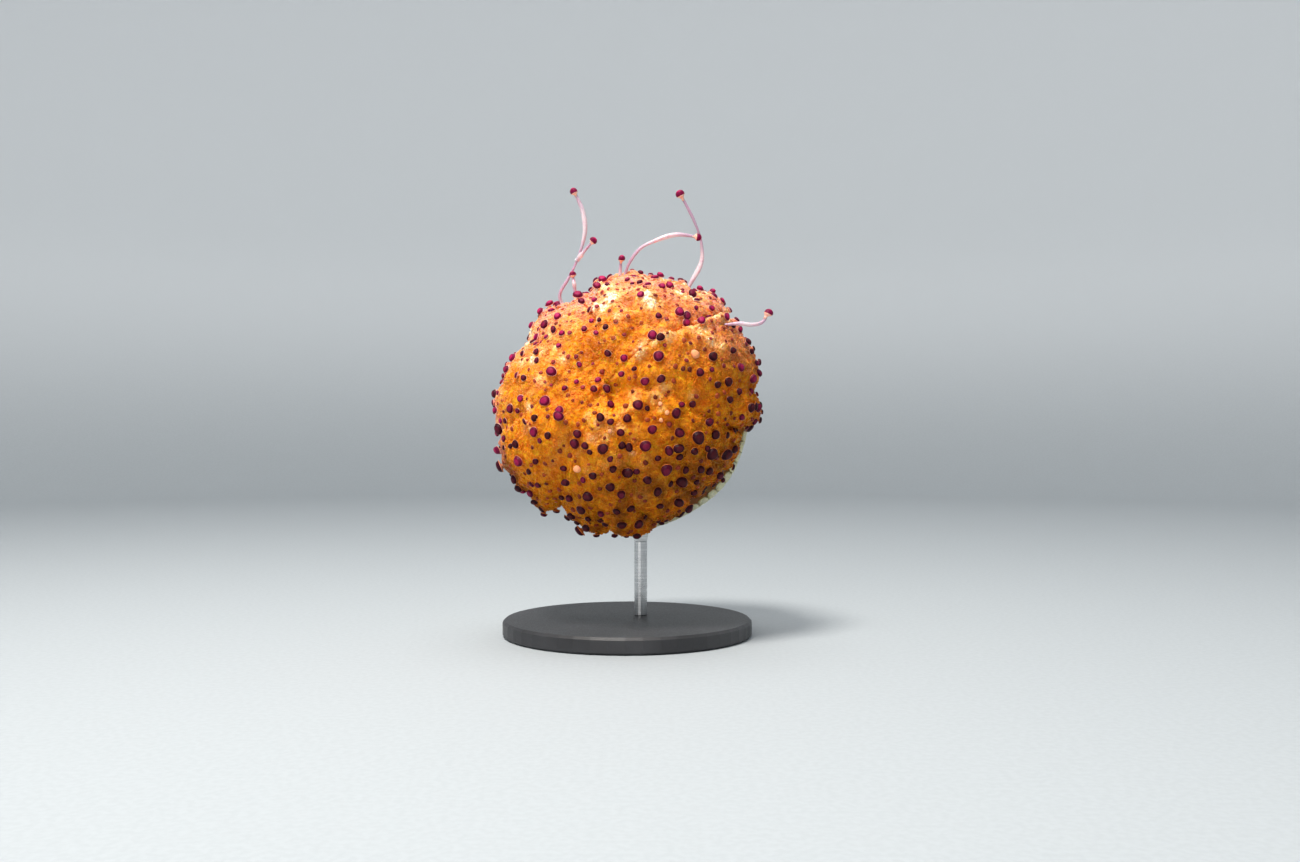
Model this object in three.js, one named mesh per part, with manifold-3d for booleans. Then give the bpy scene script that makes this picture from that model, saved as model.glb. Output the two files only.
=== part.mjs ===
// A fried egg jellyfish (Cotylorhiza tuberculata) as a life-size display model on a stand.
// Millimetres, +Z up. The origin is the middle of the stand's underside. The animal swims away along +Y
// with its bell contracted, so its oral arms face -Y, a little up and to the left.
//
// The animal has a frame of its own: z runs along its axis to the oral side, and as one looks at the arms
// x is to the right and y is up. A place on the ball of arms is a polar angle, which is 0 on the oral axis,
// an azimuth, anticlockwise from x, and a radius.
import * as THREE from "three";
import { mergeVertices } from "three/addons/utils/BufferGeometryUtils.js";
import Module from "manifold-3d";

const wasm = await Module();
wasm.setup();
const { Manifold, Mesh } = wasm;
const { degToRad: rad, smoothstep, lerp, clamp } = THREE.MathUtils;

// ---- Driving dimensions ----
const BODY_RADIUS = 80; // the ball of oral arms at its widest, without its clubs
const BODY_CENTRE = new THREE.Vector3(0, -16, 140); // its middle
const ORAL_PITCH = rad(12); // how far the oral side looks up
const ORAL_YAW = rad(-11); // and how far it turns to the left
const GAP = 0.3; // kept between nodes that touch

// The ball of arms is flattened towards the oral pole, with a hollow there and a tuck behind its rim.
const FLATTENING = 0.15; // at the pole, as a share of the radius
const HOLLOW = { depth: 0.16, width: rad(20) };
const TUCK = { depth: 0.24, from: rad(88), to: rad(112) };
const ARM_START = rad(8); // the arms' polar span, from the mouth to their backs in the bell
const ARM_END = rad(112);
const ARM_ROWS = 15; // faces along and across each arm
const ARM_COLUMNS = 10;
const CORE_RADIUS = 0.52 * BODY_RADIUS; // the manubrium, which the arms grow from

// One row for each oral arm, anticlockwise from the right as one looks at them.
// rim, mouth: azimuth of the groove before the arm, in degrees, at the widest part and near the mouth.
// groove: its depth there at the front and at the rim, as shares of the radius. reach: size against the ball.
// crest, cleft: where across the arm it stands highest and where it forks, from -1 at the groove before it
// to 1 at the next.
const ARMS = [
  { rim: -15, mouth: -17, groove: [0.13, 0.1], reach: 1.02, crest: 0.6, cleft: -0.25 },
  { rim: 38, mouth: 57, groove: [0.12, 0.03], reach: 1.055, crest: -0.45, cleft: 0.2 },
  { rim: 105, mouth: 101, groove: [0.09, 0.07], reach: 0.95, crest: 0.1, cleft: -0.3 },
  { rim: 150, mouth: 172, groove: [0.12, 0.11], reach: 0.98, crest: 0.4, cleft: -0.2 },
  { rim: 195, mouth: 208, groove: [0.06, 0.04], reach: 1.025, crest: -0.1, cleft: 0.3 },
  { rim: 237, mouth: 245, groove: [0.12, 0.09], reach: 0.995, crest: 0.4, cleft: 0.1 },
  { rim: 284, mouth: 284, groove: [0.06, 0.03], reach: 0.935, crest: 0.1, cleft: 0.4 },
  { rim: 314, mouth: 315, groove: [0.07, 0.06], reach: 0.945, crest: 0.3, cleft: -0.3 },
];
const GROOVE_SWAY = { angle: rad(3), turns: 4.5 }; // the grooves wander to both sides
const CLEFT = { depth: 4.5, width: 0.16, from: rad(48), to: rad(80) };
const LUMP = { height: 1.8, along: 11, across: 5 };

// The clubs that stand on the arms, each a stalk that flares into a button.
const CLUBS = 140;
const CLUB_SIDES = 6;
const CLUB_ROOT = 3; // sunk into the arm
const CLUB_RADIUS = { top: 2.1, bottom: 3.7 }; // the buttons on the uppermost and lowest arms
const CLUB_POLAR = { from: rad(16), to: rad(98) };
const CLUB_CLEAR = 4; // kept from the middle of a club to a groove
const CLUB_CANDIDATES = 14; // places tried for each club, of which the freest is taken

// The bell in section, as [radius, z] from the dome's rim to the margin.
const DOME_RADIUS = 31;
const DOME_TOP = -74;
const BELL_OUTSIDE = [
  [DOME_RADIUS, -60.5],
  [48, -56.5],
  [60, -49],
  [67, -38],
  [69, -28],
];
const BELL_INSIDE = [
  [DOME_RADIUS, -46],
  [48, -44],
  [58, -39],
  [64, -32],
  [67, -27.5],
];
const [MARGIN_RADIUS, MARGIN_Z] = BELL_OUTSIDE.at(-1);
const OCTANTS = 8;
const OCTANT_STEPS = 5;
const LAPPETS_PER_OCTANT = 8;
const LAPPET = { length: 7, width: 6, thickness: 1.5, root: 2.5 };

// The pillar in which the manubrium meets the dome, as [radius, z].
const PILLAR = [
  [34, -22],
  [29, -32],
  [28, BELL_INSIDE[0][1] + GAP],
];

// The long filaments. Their points are [right, back, up] from the middle of the body, from the root outwards.
// cut: share of the length where the root ends and the tip begins. branch: a side stem that ends in a button.
const FILAMENTS = [
  {
    name: "filament_1",
    arm: 2,
    points: [[-36, 3, 58], [-43, 2, 67], [-35, 0, 79], [-29, -2, 91], [-25, -4, 106], [-27, -5, 116], [-31, -6, 127]],
    cut: 0.55,
    button: 2.0,
    branch: { at: 0.47, points: [[-25, -6, 93], [-20, -7, 98]], button: 1.6 },
  },
  {
    name: "filament_2",
    arm: 1,
    points: [[34, 8, 66], [39, 10, 75], [45, 10, 87], [45, 8, 98], [41, 5, 110], [32, 2, 127]],
    cut: 0.55,
    button: 1.8,
  },
  {
    name: "filament_3",
    arm: 1,
    points: [[-2, -12, 72], [1, -14, 84], [8, -16, 94], [17, -17, 99], [29, -17, 102], [43, -16, 99.5]],
    cut: 0.5,
    button: 2.0,
  },
  {
    name: "filament_4",
    arm: 0,
    points: [[55, -32, 45], [65, -34, 48.5], [74, -31, 49], [81, -28, 50], [84, -27, 54]],
    button: 1.5,
  },
];
const FILAMENT = { root: 1.4, middle: 1.6, tip: 0.7, sides: 6, step: 5 }; // radii, and the length of one face

// The stand.
const BASE = { radius: 76, height: 10, chamfer: 1.5, segments: 48 };
const ROD_RADIUS = 4;
const ROD_SEGMENTS = 16;
const ROD_PLACE = new THREE.Vector2(8, 13);
const ROD_TOP = 56;
const CRADLE = { radius: 9, height: 30, segments: 24 }; // the height is before its top is cut

const MATERIALS = {
  arms: new THREE.MeshStandardMaterial({ color: 0xe08a1e, roughness: 0.55 }),
  mouth: new THREE.MeshStandardMaterial({ color: 0xa85a14, roughness: 0.6 }),
  dome: new THREE.MeshStandardMaterial({ color: 0xc9731c, roughness: 0.35 }),
  bell: new THREE.MeshStandardMaterial({ color: 0xd9cf9a, roughness: 0.35 }),
  filaments: new THREE.MeshStandardMaterial({ color: 0xe6d3da, roughness: 0.4 }),
  base: new THREE.MeshStandardMaterial({ color: 0x2b2b2d, roughness: 0.5 }),
  steel: new THREE.MeshStandardMaterial({ color: 0xb9bbbd, roughness: 0.3, metalness: 1 }),
};

// ---- Solids ----

// A three.js geometry as a manifold-3d solid.
function solidOf(geometry) {
  const bare = new THREE.BufferGeometry().setAttribute("position", geometry.getAttribute("position"));
  bare.setIndex(geometry.index);
  const merged = mergeVertices(bare, 1e-4);
  const corners = merged.index.array;
  const triVerts = [];
  for (let i = 0; i < corners.length; i += 3) {
    const [a, b, c] = corners.slice(i, i + 3);
    if (a !== b && b !== c && c !== a) triVerts.push(a, b, c);
  }
  return new Manifold(
    new Mesh({
      numProp: 3,
      vertProperties: merged.attributes.position.array,
      triVerts: new Uint32Array(triVerts),
    }),
  );
}

// A manifold-3d solid as a three.js geometry, keeping its largest body.
function geometryOf(solid) {
  const bodies = solid.decompose().sort((a, b) => b.volume() - a.volume());
  const mesh = bodies[0].getMesh();
  return new THREE.BufferGeometry()
    .setAttribute("position", new THREE.BufferAttribute(mesh.vertProperties, mesh.numProp))
    .setIndex(new THREE.BufferAttribute(mesh.triVerts, 1));
}

// The triangles that close a ring, as places in the ring, anticlockwise where the ring is.
function ringCap(ring) {
  const normal = new THREE.Vector3();
  ring.forEach((corner, i) => normal.add(corner.clone().cross(ring[(i + 1) % ring.length])));
  const flatten = new THREE.Quaternion().setFromUnitVectors(normal.normalize(), new THREE.Vector3(0, 0, 1));
  const outline = ring.map((corner) => corner.clone().applyQuaternion(flatten));
  return THREE.ShapeUtils.triangulateShape(outline, []);
}

// A solid through closed rings of equal length, each a list of Vector3 that turns anticlockwise as one looks
// back from the last ring.
function lofted(rings) {
  const count = rings[0].length;
  const triangles = [];
  for (let row = 0; row + 1 < rings.length; row++) {
    for (let i = 0; i < count; i++) {
      const here = row * count + i;
      const next = row * count + ((i + 1) % count);
      triangles.push(here, next, next + count, here, next + count, here + count);
    }
  }
  for (const [a, b, c] of ringCap(rings[0])) triangles.push(c, b, a);
  const last = (rings.length - 1) * count;
  for (const [a, b, c] of ringCap(rings.at(-1))) triangles.push(last + a, last + b, last + c);
  const positions = rings.flat().flatMap((corner) => corner.toArray());
  const geometry = new THREE.BufferGeometry();
  geometry.setAttribute("position", new THREE.Float32BufferAttribute(positions, 3));
  return solidOf(geometry.setIndex(triangles));
}

// A body of revolution about z. The profile is a list of [radius, z], with the solid on its left.
function turned(profile, segments) {
  const points = profile.map(([radius, z]) => new THREE.Vector2(radius, z));
  return solidOf(new THREE.LatheGeometry(points, segments).rotateX(Math.PI / 2));
}

// A manifold-3d solid turned from +z to a direction and moved to a place.
function placed(solid, place, direction) {
  const turn = new THREE.Quaternion().setFromUnitVectors(new THREE.Vector3(0, 0, 1), direction);
  const matrix = new THREE.Matrix4().compose(place, turn, new THREE.Vector3(1, 1, 1));
  return solid.transform(matrix.elements);
}

const joined = (solids) => Manifold.union(solids);

// A seeded random number between low and high.
let seed = 20;
function draw(low, high) {
  seed = (seed * 1664525 + 1013904223) % 4294967296;
  return lerp(low, high, seed / 4294967296);
}

// ---- The ball of oral arms ----

const armAt = (index) => ARMS[(index + ARMS.length) % ARMS.length];

// The azimuth of the groove before arm `index`, which swings and wanders from the mouth to the rim.
function grooveAzimuth(index, polar) {
  const { rim, mouth } = armAt(index);
  const turn = Math.floor(index / ARMS.length) * 360;
  const swing = (mouth - rim) * (1 - smoothstep(polar, ARM_START, rad(78)));
  const sway = Math.sin(GROOVE_SWAY.turns * polar + 2.1 * (index % ARMS.length));
  return rad(rim + turn + swing) + GROOVE_SWAY.angle * sway;
}

// The azimuth of a place across arm `index`, from -1 to 1, where `radius` keeps half a gap to its neighbours.
function armAzimuth(index, polar, across, radius) {
  const half = GAP / 2 / (radius * Math.sin(polar));
  const from = grooveAzimuth(index, polar) + half;
  const to = grooveAzimuth(index + 1, polar) - half;
  return lerp(from, to, (across + 1) / 2);
}

// The ball's radius along the crest of an arm of reach 1.
function crestRadius(polar) {
  const hollow = HOLLOW.depth * Math.exp(-((polar / HOLLOW.width) ** 2));
  const tuck = TUCK.depth * smoothstep(polar, TUCK.from, TUCK.to);
  return BODY_RADIUS * (1 - FLATTENING * Math.cos(polar) ** 2 - hollow) * (1 - tuck);
}

// The radius of the outside of arm `index`.
function armRadius(index, polar, across) {
  const arm = armAt(index);
  const after = across > arm.crest;
  const neighbour = armAt(after ? index + 1 : index - 1);
  const [front, rim] = after ? neighbour.groove : arm.groove;
  const groove = lerp(front, rim, smoothstep(polar, rad(45), rad(85)));
  const fromCrest = Math.abs(across - arm.crest) / (after ? 1 - arm.crest : 1 + arm.crest);
  const swell = Math.max(0, 1 - fromCrest ** 5) ** 0.7;
  const open = smoothstep(polar, 0.7 * ARM_START, rad(32));
  const floor = crestRadius(polar) * (1 - groove * open) * Math.min(arm.reach, neighbour.reach);
  const forked = CLEFT.depth * smoothstep(polar, CLEFT.from, CLEFT.to);
  const cleft = forked * Math.exp(-(((across - arm.cleft) / CLEFT.width) ** 2));
  const lump = LUMP.height * Math.sin(LUMP.along * polar + 2 * index) * Math.cos(LUMP.across * across + index);
  return lerp(floor, crestRadius(polar) * arm.reach, swell) + (lump * open - cleft) * swell;
}

// A point in the animal's frame.
function ballPoint(polar, azimuth, radius) {
  const flat = radius * Math.sin(polar);
  return new THREE.Vector3(flat * Math.cos(azimuth), flat * Math.sin(azimuth), radius * Math.cos(polar));
}

// A point on the outside of arm `index`, `proud` above it, and the way that the surface faces there.
function armSurface(index, polar, across, proud = 0) {
  const radius = armRadius(index, polar, across) + proud;
  return ballPoint(polar, armAzimuth(index, polar, across, radius), radius);
}
function armFacing(index, polar, across) {
  const nudge = 0.05;
  const place = armSurface(index, polar, across);
  const along = armSurface(index, polar + nudge, across).sub(place);
  const aside = armSurface(index, polar, across + nudge).sub(place);
  return along.cross(aside).normalize().lerp(place.clone().normalize(), 0.5).normalize();
}

const ARM_POLARS = Array.from({ length: ARM_ROWS + 1 }, (_, row) => lerp(ARM_START, ARM_END, row / ARM_ROWS));

// Arm `index` without its clubs, `proud` larger all round.
function armBody(index, proud = 0) {
  const rings = ARM_POLARS.map((polar) => {
    const ring = [];
    for (let column = ARM_COLUMNS; column >= 0; column--) {
      ring.push(armSurface(index, polar, lerp(-1, 1, column / ARM_COLUMNS), proud));
    }
    const inside = CORE_RADIUS + GAP;
    for (const across of [-1, 0, 1]) {
      ring.push(ballPoint(polar, armAzimuth(index, polar, across, inside), inside));
    }
    return ring;
  });
  return lofted(rings);
}

// A club that stands on z = 0 with its root below.
function club(buttonRadius, height) {
  const stalk = 0.42 * buttonRadius;
  const rim = height - 0.3 * buttonRadius;
  const profile = [
    [0, -CLUB_ROOT],
    [stalk, -CLUB_ROOT],
    [stalk, 0.4 * height],
    [buttonRadius, rim],
    [0, height],
  ];
  return turned(profile, CLUB_SIDES);
}

// The arm and the place across it at an azimuth, in radians from 0 to a full turn.
function armUnder(polar, azimuth) {
  for (let index = 0; index <= ARMS.length; index++) {
    const from = grooveAzimuth(index, polar);
    const to = grooveAzimuth(index + 1, polar);
    if (azimuth >= from && azimuth < to) {
      return { index: index % ARMS.length, across: (2 * (azimuth - from)) / (to - from) - 1, width: to - from };
    }
  }
  return { index: 0, across: -1, width: 0 };
}

// One club's place, drawn at random clear of the grooves. The lowest clubs are the largest.
function drawClub() {
  const polar = Math.acos(draw(Math.cos(CLUB_POLAR.to), Math.cos(CLUB_POLAR.from)));
  const { index, across, width } = armUnder(polar, draw(0, 2 * Math.PI));
  const place = armSurface(index, polar, across);
  const toGroove = ((1 - Math.abs(across)) / 2) * width * place.length() * Math.sin(polar);
  const low = clamp(0.5 - (0.8 * place.y - 0.4 * place.x) / BODY_RADIUS / 2, 0, 1);
  const radius = lerp(CLUB_RADIUS.top, CLUB_RADIUS.bottom, low) * draw(0.75, 1.1);
  const height = radius * draw(0.9, 1.4);
  const facing = armFacing(index, polar, across);
  const button = place.clone().addScaledVector(facing, height);
  return { index, place, facing, radius, height, button, blocked: toGroove < Math.max(CLUB_CLEAR, radius + 1) };
}

// The clubs of the whole ball, spread by taking the freest of a few random places for each.
function spreadClubs(taken) {
  const clubs = [];
  const freedom = (club) =>
    [...taken, ...clubs].reduce(
      (least, other) => Math.min(least, other.button.distanceTo(club.button) - other.radius - club.radius),
      Infinity,
    );
  while (clubs.length < CLUBS) {
    const drawn = Array.from({ length: CLUB_CANDIDATES }, drawClub).filter((club) => !club.blocked);
    const best = drawn.sort((a, b) => freedom(b) - freedom(a))[0];
    if (best && freedom(best) > 0.8) clubs.push(best);
  }
  return clubs;
}

// ---- The filaments ----

const POSE = new THREE.Euler(Math.PI / 2 - ORAL_PITCH, 0, ORAL_YAW, "ZXY");
const TO_ANIMAL = new THREE.Matrix4().makeRotationFromEuler(POSE).invert();
const curveThrough = (points) =>
  new THREE.CatmullRomCurve3(points.map((point) => new THREE.Vector3(...point).applyMatrix4(TO_ANIMAL)));

// A stem's radius at a share of its length.
function stemRadius(share) {
  if (share < 0.5) return lerp(FILAMENT.root, FILAMENT.middle, 2 * share);
  return lerp(FILAMENT.middle, FILAMENT.tip, 2 * share - 1);
}

// A stem along part of a curve, from share `from` of its length to share `to`.
function stem(curve, from, to) {
  const length = curve.getLength() * (to - from);
  const steps = Math.max(2, Math.round(length / FILAMENT.step));
  const rings = [];
  for (let step = 0; step <= steps; step++) {
    const share = lerp(from, to, step / steps);
    const thick = stemRadius(share);
    const tangent = curve.getTangentAt(share);
    const side = new THREE.Vector3(0, 0, 1).cross(tangent).normalize();
    const other = tangent.clone().cross(side);
    const ring = [];
    for (let i = 0; i < FILAMENT.sides; i++) {
      const angle = (i / FILAMENT.sides) * 2 * Math.PI;
      const place = curve.getPointAt(share).addScaledVector(side, thick * Math.cos(angle));
      ring.push(place.addScaledVector(other, thick * Math.sin(angle)));
    }
    rings.push(ring);
  }
  return lofted(rings);
}

// A button on the end of a curve.
function tipButton(curve, radius) {
  return placed(club(radius, 1.2 * radius), curve.getPointAt(1), curve.getTangentAt(1));
}

// The lengths of a filament by name. The first one stands on its arm.
function filamentLengths({ name, arm, points, cut, button, branch }) {
  const curve = curveThrough(points);
  const halfGap = GAP / 2 / curve.getLength();
  const root = cut ? stem(curve, 0, cut - halfGap) : joined([stem(curve, 0, 1), tipButton(curve, button)]);
  const pieces = [root];
  if (branch) {
    const fork = new THREE.CatmullRomCurve3([curve.getPointAt(branch.at), ...curveThrough(branch.points).points]);
    pieces.push(stem(fork, 0, 1), tipButton(fork, branch.button));
  }
  const rooted = joined(pieces).subtract(armBody(arm, GAP));
  if (!cut) return { [name]: rooted };
  const tip = joined([stem(curve, cut + halfGap, 1), tipButton(curve, button)]);
  return { [`${name}_root`]: rooted, [`${name}_tip`]: tip };
}

// ---- The manubrium and the bell ----

// The core of the ball, whose faces lie along the insides of the arms, and the pillar behind it.
function manubrium() {
  const ringAt = (polar, toPoint) => {
    const ring = [];
    for (let index = ARMS.length - 1; index >= 0; index--) {
      const from = grooveAzimuth(index, polar);
      const to = grooveAzimuth(index + 1, polar);
      ring.push(toPoint((from + to) / 2), toPoint(from));
    }
    return ring;
  };
  const core = ARM_POLARS.map((polar) => ringAt(polar, (azimuth) => ballPoint(polar, azimuth, CORE_RADIUS)));
  const pillar = PILLAR.map(([radius, z]) =>
    ringAt(ARM_END, (azimuth) => ballPoint(Math.PI / 2, azimuth, radius).setZ(z)),
  );
  return lofted([...core, ...pillar]);
}

// The raised middle of the bell.
function dome() {
  const shoulder = BELL_OUTSIDE[0][1];
  const profile = [[0, DOME_TOP]];
  for (const share of [0.35, 0.65, 0.88]) {
    const depth = (DOME_TOP - shoulder) * Math.sqrt(1 - share ** 2);
    profile.push([share * DOME_RADIUS, shoulder + depth]);
  }
  profile.push([DOME_RADIUS, shoulder], [DOME_RADIUS, BELL_INSIDE[0][1]], [0, BELL_INSIDE[0][1]]);
  return turned(profile, OCTANTS * OCTANT_STEPS);
}

// A tongue of the margin that points along z from its root at the origin, flat across x.
function lappet(length) {
  const sections = [
    [-LAPPET.root, 1, 1],
    [0.55 * length, 0.95, 0.85],
    [length, 0.45, 0.55],
  ];
  const rings = sections.map(([z, widthShare, thicknessShare]) => {
    const x = (LAPPET.thickness * thicknessShare) / 2;
    const y = (LAPPET.width * widthShare) / 2;
    return [[x, -y], [x, y], [-x, y], [-x, -y]].map(([across, along]) => new THREE.Vector3(across, along, z));
  });
  return lofted(rings);
}

// One eighth of the bell's ring, with its lappets.
function octant(index) {
  const wide = (2 * Math.PI) / OCTANTS;
  const section = [...BELL_INSIDE, ...BELL_OUTSIDE.toReversed()];
  const rings = [];
  for (let step = 0; step <= OCTANT_STEPS; step++) {
    const toMiddle = 1 - (2 * step) / OCTANT_STEPS;
    rings.push(
      section.map(([radius, z], i) => {
        const inner = i === 0 || i === section.length - 1;
        const clear = inner ? radius + GAP : radius;
        const gapAngle = Math.trunc(toMiddle) * (GAP / 2 / clear);
        const azimuth = (index + step / OCTANT_STEPS) * wide + gapAngle;
        return new THREE.Vector3(clear * Math.cos(azimuth), clear * Math.sin(azimuth), z);
      }),
    );
  }
  const pieces = [lofted(rings)];
  for (let i = 0; i < LAPPETS_PER_OCTANT; i++) {
    const azimuth = (index + (i + 0.5) / LAPPETS_PER_OCTANT) * wide;
    const turn = new THREE.Matrix4().makeRotationZ(azimuth);
    const move = new THREE.Matrix4().makeTranslation(MARGIN_RADIUS - 1, 0, MARGIN_Z);
    pieces.push(lappet(LAPPET.length * draw(0.85, 1.1)).transform(turn.multiply(move).elements));
  }
  return joined(pieces);
}

// An upright round bar of the stand, which may flare, in the place of the rod.
function upright(lowRadius, highRadius, low, high, segments) {
  const bar = new THREE.CylinderGeometry(highRadius, lowRadius, high - low, segments);
  return solidOf(bar.rotateX(Math.PI / 2).translate(ROD_PLACE.x, ROD_PLACE.y, (low + high) / 2));
}

// ---- The model ----

const group = new THREE.Group();
const animal = new THREE.Group();
animal.position.copy(BODY_CENTRE);
animal.rotation.copy(POSE);
group.add(animal);

function add(parent, name, solid, material) {
  const mesh = new THREE.Mesh(geometryOf(solid), material);
  mesh.name = name;
  parent.add(mesh);
}

add(animal, "manubrium", manubrium(), MATERIALS.mouth);
const filamentRoots = FILAMENTS.map(({ points }) => ({
  button: curveThrough(points).getPointAt(0.08),
  radius: 4,
}));
const clubs = spreadClubs(filamentRoots);
ARMS.forEach((_, index) => {
  const own = clubs.filter((each) => each.index === index);
  const solids = own.map(({ radius, height, place, facing }) => placed(club(radius, height), place, facing));
  add(animal, `oral_arm_${index + 1}`, joined([armBody(index), ...solids]), MATERIALS.arms);
});
for (const filament of FILAMENTS) {
  for (const [name, solid] of Object.entries(filamentLengths(filament))) {
    add(animal, name, solid, MATERIALS.filaments);
  }
}
add(animal, "bell_dome", dome(), MATERIALS.dome);
for (let index = 0; index < OCTANTS; index++) {
  add(animal, `bell_octant_${index + 1}`, octant(index), MATERIALS.bell);
}

// The stand: a rod up to a cradle whose top is cut to the outside of the bell.
animal.updateMatrixWorld(true);
const lappetEnd = MARGIN_Z + 1.2 * LAPPET.length;
const bellProfile = [
  [0, DOME_TOP - GAP],
  ...BELL_OUTSIDE.map(([radius, z]) => [radius + GAP, z - GAP]),
  [MARGIN_RADIUS + GAP, lappetEnd],
  [0, lappetEnd],
];
const bellInPlace = turned(bellProfile, OCTANTS * OCTANT_STEPS).transform(animal.matrixWorld.elements);
const cradle = upright(ROD_RADIUS, CRADLE.radius, ROD_TOP, ROD_TOP + CRADLE.height, CRADLE.segments);
const rod = upright(ROD_RADIUS, ROD_RADIUS, BASE.height + GAP, ROD_TOP - GAP, ROD_SEGMENTS);
add(group, "stand_cradle", cradle.subtract(bellInPlace), MATERIALS.steel);
add(group, "stand_rod", rod, MATERIALS.steel);
const baseProfile = [
  [0, 0],
  [BASE.radius - BASE.chamfer, 0],
  [BASE.radius, BASE.chamfer],
  [BASE.radius, BASE.height - BASE.chamfer],
  [BASE.radius - BASE.chamfer, BASE.height],
  [0, BASE.height],
];
add(group, "stand_base", turned(baseProfile, BASE.segments), MATERIALS.base);

export default group;
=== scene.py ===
"""A fried egg jellyfish (Cotylorhiza tuberculata), life size, on a plain display stand.

Metres, +Z up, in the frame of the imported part. The animal has a frame of its own, as in the part: z runs
along its axis to the oral side and, as one looks at the oral arms, x is to the right and y is up. A place on
the ball of arms is a polar angle, 0 on the oral axis, and an azimuth, anticlockwise from x.
"""

import itertools
import math

import bmesh
import bpy
import numpy as np
from mathutils import Matrix, Vector
from mathutils.bvhtree import BVHTree


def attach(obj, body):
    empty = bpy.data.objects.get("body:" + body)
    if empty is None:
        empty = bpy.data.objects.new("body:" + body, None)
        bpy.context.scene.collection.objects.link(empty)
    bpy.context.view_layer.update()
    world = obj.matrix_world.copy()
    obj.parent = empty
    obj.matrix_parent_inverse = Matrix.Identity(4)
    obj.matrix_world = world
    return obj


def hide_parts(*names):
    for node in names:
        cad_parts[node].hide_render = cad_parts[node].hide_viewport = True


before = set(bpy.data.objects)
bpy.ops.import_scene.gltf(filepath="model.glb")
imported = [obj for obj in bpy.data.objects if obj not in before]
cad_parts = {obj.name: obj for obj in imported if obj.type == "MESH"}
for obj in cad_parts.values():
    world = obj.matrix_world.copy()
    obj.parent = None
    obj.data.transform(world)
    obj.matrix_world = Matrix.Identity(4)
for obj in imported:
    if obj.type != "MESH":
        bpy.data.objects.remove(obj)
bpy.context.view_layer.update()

MM = 0.001
rad = math.radians

# ---- The ball of arms ----

# These follow the part's own, with some grooves and one reach a little off them, as in the photo.
BODY_RADIUS = 80 * MM
BODY_CENTRE = np.array([0, -16, 140]) * MM
ORAL_PITCH = rad(12)
ORAL_YAW = rad(-11)
TO_WORLD = np.array(Matrix.Rotation(ORAL_YAW, 3, "Z") @ Matrix.Rotation(math.pi / 2 - ORAL_PITCH, 3, "X"))

FLATTENING = 0.15
HOLLOW_DEPTH = 0.16
HOLLOW_WIDTH = rad(20)
TUCK_DEPTH = 0.24
TUCK = (rad(88), rad(112))
ARM_START = rad(8)
ARM_END = rad(112)
# One column for each oral arm, anticlockwise from the right.
ARM_COUNT = 8
GROOVE_RIM = np.array([-15, 35, 104, 152, 195, 243, 284, 314])  # azimuth of the groove before it, in degrees
GROOVE_MOUTH = np.array([-12, 43, 100, 150, 205, 240, 284, 315])
GROOVE_FRONT = np.array([0.13, 0.12, 0.09, 0.12, 0.06, 0.12, 0.06, 0.07])  # depth, in body radii
GROOVE_BACK = np.array([0.10, 0.03, 0.07, 0.11, 0.04, 0.09, 0.03, 0.06])
REACH = np.array([1.02, 1.035, 0.95, 0.98, 1.025, 0.995, 0.935, 0.945])
CREST = np.array([0.6, -0.45, 0.1, 0.4, -0.1, 0.4, 0.1, 0.3])
CLEFT_PLACE = np.array([-0.25, 0.2, -0.3, -0.2, 0.3, 0.1, 0.4, -0.3])
CLEFT_DEPTH = 4.5 * MM
CLEFT_WIDTH = 0.16
GROOVE_SWAY = rad(3)
GROOVE_TURNS = 4.5

# ---- What the skin adds ----

SKIN_LEVEL = 8  # subdivisions of the icosphere that it starts from
# The groove before each arm: its depth as a share of the one above, what that grows to at the rim, the polar
# angles where it begins to open and is open, and how sharp it is, from 0 for a soft valley to 1 for a cut.
FOLD_SHARE = np.array([0.22, 0.85, 0.75, 0.4, 0.3, 0.4, 0.3, 0.35])
RIM_SHARE = np.array([1.0, 1.0, 1.0, 0.8, 0.6, 0.9, 0.7, 0.7])
FOLD_FROM = np.radians([10, 7, 16, 24, 24, 16, 24, 24])
FOLD_TO = np.radians([30, 26, 44, 60, 60, 45, 60, 60])
FOLD_SHARP = np.array([0.15, 1.0, 0.6, 0.25, 0.1, 0.15, 0.0, 0.0])
# The lip along each groove: which arm it belongs to, 1 for the arm after the groove, and how proud it stands.
LIP_SIDE = np.array([-1, -1, -1, 1, 1, 1, -1, 1])
LIP_HEIGHT = np.array([1.0, 3.6, 3.0, 0.9, 1.0, 1.0, 0.8, 0.8]) * MM
LIP_PLACE = 3.2 * MM  # from the groove
LIP_WIDTH = 2.4 * MM
LIP_OVERHANG = 0.7  # how far it leans over the groove, in its own heights
LIP_RAGGED = {"share": 0.75, "height": 5 * MM, "lean": 4 * MM}  # how uneven it is, and in lumps of which size
# The ridge that runs half way round the mouth.
COLLAR = {"polar": rad(20), "width": rad(5), "from": rad(238), "to": rad(340), "height": 2.6 * MM}
# The polar angles between which the grooves go from the depths near the mouth to those at the rim, turn sharp
# and grow with the folds, the clefts open, and the lips end.
BACK_GROOVES = (rad(45), rad(85))
CUT_GROOVES = (rad(55), rad(76))
RIM_FOLDS = (rad(58), rad(80))
CLEFTS = (rad(48), rad(80))
LIP_END = (rad(70), rad(95))
# The relief of the flesh, from coarse to fine.
WAVES = {"size": 13 * MM, "height": 1.3 * MM}
LOBES = {"size": 16 * MM, "height": 1.4 * MM, "lift": 2 * MM}
KNOLLS = {"size": 6.5 * MM, "height": 0.75 * MM, "groups": 20 * MM}
GRAINS = {"size": 2.3 * MM, "height": 0.25 * MM}
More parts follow.
